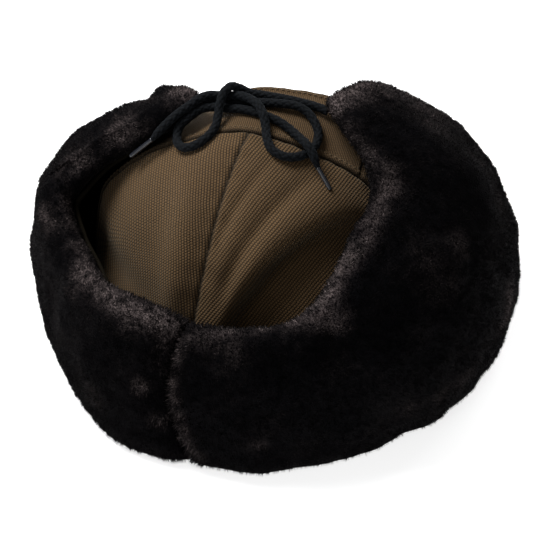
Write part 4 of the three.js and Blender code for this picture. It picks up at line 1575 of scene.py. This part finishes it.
@dataclass
class FurFlap:
    """Folded-up flap: a slab of dense pile with a cloth facing on its inner side."""

    node: str
    rows: Array
    steps: tuple
    tufts: int
    seed: int
    highlight_patches: Array = field(default_factory=lambda: np.zeros((0, 5)))
    groove_at: float | None = None
    fur_half_mm: float = 10.0
    rim_round_mm: float = 13.0
    end_round_mm: float = 10.0
    end_round_depth: float = 0.45
    foot_round_mm: float = 10.0
    foot_round_depth: float = 0.3
    rim_crowding: float = 1.5
    facing_gap_mm: float = 0.9
    facing_cloth_mm: float = 1.8
    facing_reach: float = 0.8
    facing_clearance_mm: float = 0.3
    skin_depth_mm: float = 1.1
    skin_depth_least: float = 0.25
    skin_inner_share: float = 0.97
    skin_rim_inset: float = 0.6
    tuft_mm: float = 2.4
    tuft_base_mm: float = 0.42
    tuft_sunk_mm: float = 0.9
    nap_lean: float = 0.3
    bare_height_mm: float = 1.0
    bare_slope: float = 0.6
    own_lean: float = 0.3
    nap_length_mm: float = 60.0
    nap_fall: float = 0.5
    length_spread: tuple = (0.72, 1.12)
    length_wave: float = 0.12
    length_wave_mm: float = 7.0
    foot_spread: tuple = (0.7, 1.3)
    foot_bend: float = 0.45
    tip_bend: float = 0.4
    foot_shade: float = 0.35
    shade_least: float = 0.005
    shade_spread: tuple = (0.1, 3.6)
    swell_mm: float = 0.8
    swell_length_mm: float = 30.0
    dimple_mm: float = 0.25
    dimple_length_mm: float = 10.0
    inner_grow_mm: tuple = (9.0, 6.0)
    end_grow: float = 0.9
    skin_shade: float = 0.6
    plain_tone: float = 0.010
    highlight_cloud: Mottle = Mottle(
        base=0.85,
        broad=0.4, broad_mm=9.0, broad_seed=21,
        fine=0.35, fine_mm=3.6, fine_seed=22,
        limits=(0.12, 1.7),
    )
    plain_mottle: Mottle = Mottle(
        base=1.0,
        broad=0.9, broad_mm=30.0, broad_seed=20,
        fine=0.8, fine_mm=6.0, fine_seed=23,
        limits=(0.2, 3.5),
    )
    groove_reach_mm: float = 7.0
    groove_length: float = 0.5
    groove_lip_highlight: float = 0.03
    groove_half_width: float = 0.6

    def middle(self, place: Array, v: Array) -> Array:
        """Middle surface of the slab: at each place a curve through foot, belly, shoulder, rim.

        Args:
            place: places in rows.
            v: 0 at the foot to 1 at the rim, reflected past the rim.

        Returns:
            Points of the middle surface.
        """
        place, v = np.broadcast_arrays(np.asarray(place, float), np.asarray(v, float))
        q = row_at(self.rows, np.clip(place, 0, len(self.rows) - 1))
        points = np.stack([
            polar(q[..., 0], q[..., 1], 0.0),
            polar(q[..., 2], q[..., 3], q[..., 4]),
            polar(q[..., 5], q[..., 6], q[..., 7]),
            polar(q[..., 8], q[..., 9], q[..., 10]),
        ], axis=-2)
        past = v > 1
        point = curve_at(points, np.where(past, 2 - v, v))
        end = points[..., 3, :]
        return np.where(past[..., None], 2 * end - point, point)

    @staticmethod
    def rounding(distance: Array, reach: float) -> Array:
        """Quarter-circle easing: 0 at an edge and 1 past the reach of its rounding."""
        share = np.clip(distance / reach, 0, 1)
        return np.sqrt(np.maximum(1 - (1 - share) ** 2, 0))

    def sections(self, places: Array, up: int, reach: float = 1.0) -> dict[str, Array]:
        """Points, normals and half thicknesses of the slab, closer together towards the rim.

        Args:
            places: places in rows.
            up: steps from the foot to near the rim.
            reach: share of the steps that is kept, from the foot.

        Returns:
            Arrays by name: point, normal, outward, inward, rim, v.
        """
        v_line = 1 - (1 - reach * np.arange(up) / up) ** self.rim_crowding
        place, v = np.meshgrid(places, v_line, indexing="ij")
        point = self.middle(place, v)
        rim = self.middle(places, np.ones(len(places)))
        last = len(self.rows) - 1.0
        round_rim = self.rounding(np.linalg.norm(point - rim[:, None], axis=-1), self.rim_round_mm)
        to_end = np.minimum(
            np.linalg.norm(point - self.middle(0 * place, v), axis=-1),
            np.linalg.norm(point - self.middle(0 * place + last, v), axis=-1),
        )
        end_round = 1 - self.end_round_depth * (1 - self.rounding(to_end, self.end_round_mm))
        foot_round = 1 - self.foot_round_depth * (1 - self.rounding(point[..., 2], self.foot_round_mm))
        inner_places = np.clip(place, SLOPE_STEP, last - SLOPE_STEP)
        normal = normal_at(self.middle, inner_places, np.maximum(v, 2 * SLOPE_STEP))
        backing = row_at(self.rows[:, 11:], places)
        return {
            "point": point,
            "normal": normal,
            "outward": self.fur_half_mm * round_rim * end_round * foot_round,
            "inward": backing * round_rim,
            "rim": rim,
            "v": v,
        }

    def skin(self) -> tuple[Shell, Array]:
        """Skin under the pile's tips, darker than the tips as painted shade, with soft undulations, and where
        tufts may grow.

        Returns:
            The closed skin, and for each vertex how thickly tufts grow there, 0 to 1.
        """
        last = len(self.rows) - 1.0
        at = self.sections(np.linspace(0, last, self.steps[0]), self.steps[1])
        depth = self.skin_depth_mm * np.clip(at["outward"] / self.fur_half_mm, self.skin_depth_least, 1)
        swell = self.swell_mm * ripple(at["point"], self.swell_length_mm, self.seed)
        swell = swell + self.dimple_mm * ripple(at["point"], self.dimple_length_mm, self.seed + 1)
        height = at["outward"] - depth + swell * at["outward"] / self.fur_half_mm
        outer = at["point"] + at["normal"] * height[..., None]
        inner = at["point"] - at["normal"] * (at["inward"] * self.skin_inner_share)[..., None]
        rim = at["rim"][:, None]
        rim = rim + (at["point"][:, -1:] - rim) * self.skin_rim_inset
        loops = np.concatenate([outer, rim, inner[:, ::-1]], axis=1)
        loops[..., 2] = np.maximum(loops[..., 2], FLOOR_CLEARANCE_MM)
        shell = loft(loops)
        from_rim = np.linalg.norm(at["point"] - at["rim"][:, None], axis=-1)
        reach, fade = self.inner_grow_mm
        inner_grow = smoothstep(reach - from_rim, 0, fade)
        grow = np.concatenate([np.ones_like(from_rim), np.ones((len(loops), 1)), inner_grow[:, ::-1]], axis=1)
        grow[[0, -1]] = np.maximum(grow[[0, -1]], self.end_grow)
        # Painted highlights on the skin, at a lower share that also paints shade under the pile
        shell.tone = np.clip(self.skin_shade * self.painted_highlights_and_mottle(shell.points), self.shade_least, 1)
        return shell, grow.ravel()

    def pile(self, skin: Shell, grow: Array) -> Shell:
        """Tufts of pile: thin closed spikes on the skin, leaning with a slowly turning nap.

        Each spike stands at a random point of a face picked by its area, is as long as the
        pile, and leans by the nap's direction plus its own small tilt.

        Args:
            skin: the skin that the tufts stand on.
            grow: how thickly tufts grow at each vertex.

        Returns:
            All tufts as one shell.
        """
        rng = np.random.default_rng(self.seed)
        faces = skin.corners()
        a, b, c = (skin.points[faces[:, k]] for k in range(3))
        cross = np.cross(b - a, c - a)
        area = np.linalg.norm(cross, axis=1) / 2
        weight = area * grow[faces].mean(axis=1)
        near_floor = (a[:, 2] + b[:, 2] + c[:, 2]) / 3 < self.bare_height_mm
        facing_floor = cross[:, 2] < -self.bare_slope * 2 * area
        weight = np.where(near_floor & facing_floor, 0, weight)
        pick = rng.choice(len(faces), size=self.tufts, p=weight / weight.sum())
        r1, r2 = np.sqrt(rng.random(self.tufts)), rng.random(self.tufts)
        root = (1 - r1)[:, None] * a[pick] + (r1 * (1 - r2))[:, None] * b[pick] + (r1 * r2)[:, None] * c[pick]
        normal = unit(cross)[pick]
        nap = np.stack([ripple(root, self.nap_length_mm, self.seed + 7 + k) for k in range(3)], axis=-1)
        nap[:, 2] -= self.nap_fall
        nap -= normal * np.sum(nap * normal, axis=1, keepdims=True)
        own = rng.normal(size=(self.tufts, 3)) * self.own_lean
        lean = unit(normal + self.nap_lean * nap + own)
        length = self.tuft_mm * rng.uniform(*self.length_spread, self.tufts)
        length *= 1 + self.length_wave * ripple(root, self.length_wave_mm, self.seed + 3)
        near = self.near_groove(root)
        length *= 1 + self.groove_length * near
        side = unit(np.cross(lean, rng.normal(size=(self.tufts, 3))))
        other = np.cross(lean, side)
        base = root - normal * self.tuft_sunk_mm
        angles = 2 * np.pi * np.arange(3) / 3
        spoke = side[:, None] * np.cos(angles)[:, None] + other[:, None] * np.sin(angles)[:, None]
        radius = self.tuft_base_mm * rng.uniform(*self.foot_spread, self.tufts)
        feet = base[:, None] + spoke * radius[:, None, None]
        tip = base + lean * length[:, None]
        points = np.concatenate([feet, tip[:, None]], axis=1)
        points[..., 2] = np.maximum(points[..., 2], FLOOR_CLEARANCE_MM)
        start = 4 * np.arange(self.tufts)[:, None, None]
        faces = (start + np.array([[0, 2, 1], [0, 1, 3], [1, 2, 3], [2, 0, 3]])).reshape(-1, 3)
        # Painted highlights on each tuft, spread at random; the feet take a lower share, painted shade
        # between the hairs
        least, more = self.shade_spread
        shade = self.painted_highlights_and_mottle(root) * (least + more * rng.random(self.tufts) ** 3)
        # Painted highlight: lighter tufts on the lip of the groove between the two halves
        shade += self.groove_lip_highlight * near * rng.random(self.tufts) ** 3
        shade = np.clip(shade, self.shade_least, 1)[:, None]
        tone = np.concatenate([np.repeat(self.foot_shade * shade, 3, axis=1), shade], axis=1)
        foot_normals = unit(spoke * self.foot_bend + normal[:, None])
        normals = np.concatenate([foot_normals, unit(self.tip_bend * lean + normal)[:, None]], axis=1)
        return Shell(
            points.reshape(-1, 3),
            np.zeros((0, 4), dtype=int),
            faces,
            tone=tone.ravel(),
            normals=normals.reshape(-1, 3),
        )

    def near_groove(self, points: Array) -> Array:
        """Closeness to the end that butts against the other half.

        Args:
            points: places in millimetres.

        Returns:
            Share for each place: 1 in the groove, and a bell away from it.
        """
        if self.groove_at is None:
            return np.zeros(len(points))
        steps = 40
        line = self.middle(np.full(steps, self.groove_at), np.linspace(0, 1, steps))
        away = np.linalg.norm(points[:, None] - line[None], axis=-1).min(axis=1)
        past = np.maximum(away - self.groove_half_width * self.fur_half_mm, 0)
        return bell(past, self.groove_reach_mm)

    def painted_highlights_and_mottle(self, points: Array) -> Array:
        """Tone of the tips: painted highlights, each patch a bell of painted light round its place, broken up
        by soft relief, over a faint random mottle.

        Args:
            points: places in millimetres.

        Returns:
            Tone, about 0 to 1.
        """
        light = np.zeros(len(points))
        for x, y, z, reach, strength in self.highlight_patches:
            far = np.sum((points - (x, y, z)) ** 2, axis=1) / reach ** 2
            light += strength * np.exp(-far)
        light = 1 - np.exp(-light)
        cloudy, mottled = (soft.at(points, self.seed) for soft in (self.highlight_cloud, self.plain_mottle))
        return light * cloudy + self.plain_tone * mottled

    def facing(self) -> tuple[Shell, tuple]:
        """Cloth facing just inside the slab's inner side, short of its rim and ends.

        Returns:
            The facing and its flat length and height in millimetres.
        """
        steps_up = 28
        last = len(self.rows) - 1.0
        edge = last / 30
        places = np.linspace(edge, last - edge, self.steps[0] // 2)
        at = self.sections(places, steps_up, self.facing_reach)
        outer = at["point"] - at["normal"] * (at["inward"] + self.facing_gap_mm)[..., None]
        inner = outer - at["normal"] * self.facing_cloth_mm
        loops = np.concatenate([outer, inner[:, ::-1]], axis=1)
        loops[..., 2] = np.maximum(loops[..., 2], self.facing_clearance_mm)
        shell = loft(loops)
        along = spans(outer, 0).mean()
        upward = spans(outer, 1).mean()
        u = np.linspace(0, along, outer.shape[0])[:, None] + 0 * at["v"]
        grain = np.stack([u, at["v"] * upward], axis=-1)
        shell.uv = np.concatenate([grain, grain[:, ::-1]], axis=1).reshape(-1, 2)
        return shell, (float(along), float(upward))

    def build(self, plush: bpy.types.Material, cloth: bpy.types.Material) -> None:
        """Args:
            plush: finish of the skin and the pile.
            cloth: finish of the facing.
        """
        skin, grow = self.skin()
        body = skin.to_object(f"{self.node}_skin")
        body.data.materials.append(plush)
        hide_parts(self.node)
        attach(body, "root")
        pile = self.pile(skin, grow).to_object(f"{self.node}_pile")
        pile.data.materials.append(plush)
        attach(pile, "root")
        shell, size = self.facing()
        facing = shell.to_object(f"{self.node}_cloth_facing")
        facing.data.materials.append(cloth)
        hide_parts(f"{self.node}_facing")
        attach(facing, "root")
        log.info("%s: facing flat %.0f x %.0f mm, %d tufts", self.node, *size, self.tufts)


def main() -> None:
    """Builds the camera, the laces, the fur flaps, the crown and the set."""
    logging.basicConfig(level=logging.INFO, format="%(message)s")
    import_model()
    studio = Studio()
    studio.build_camera()
    yarn, plastic = BraidYarn().make(), AgletPlastic().make()
    for side, route, end in (
        ("left", LEFT_LACE_ROUTE, np.array([-66.5, -22.0, 101.0])),
        ("right", RIGHT_LACE_ROUTE, np.array([31.2, -29.6, 105.0])),
    ):
        Lace(side, route, end).build(yarn, plastic)
    plush, facing_cloth = Plush().make(), PlainCloth().make()
    left_end = len(LEFT_FLAP_ROWS) - 1.0
    for flap in (
        FurFlap("flap_right", RIGHT_FLAP_ROWS, (260, 64), 49500, SEED + 1, RIGHT_HIGHLIGHT_PATCHES, 0.0),
        FurFlap("flap_left", LEFT_FLAP_ROWS, (260, 64), 49500, SEED + 2, LEFT_HIGHLIGHT_PATCHES, left_end),
        FurFlap("front_peak", PEAK_ROWS, (80, 32), 15000, SEED + 3),
    ):
        flap.build(plush, facing_cloth)
    Crown().build(Thread().make(), facing_cloth)
    studio.build_set()


if __name__ == "__main__":
    main()
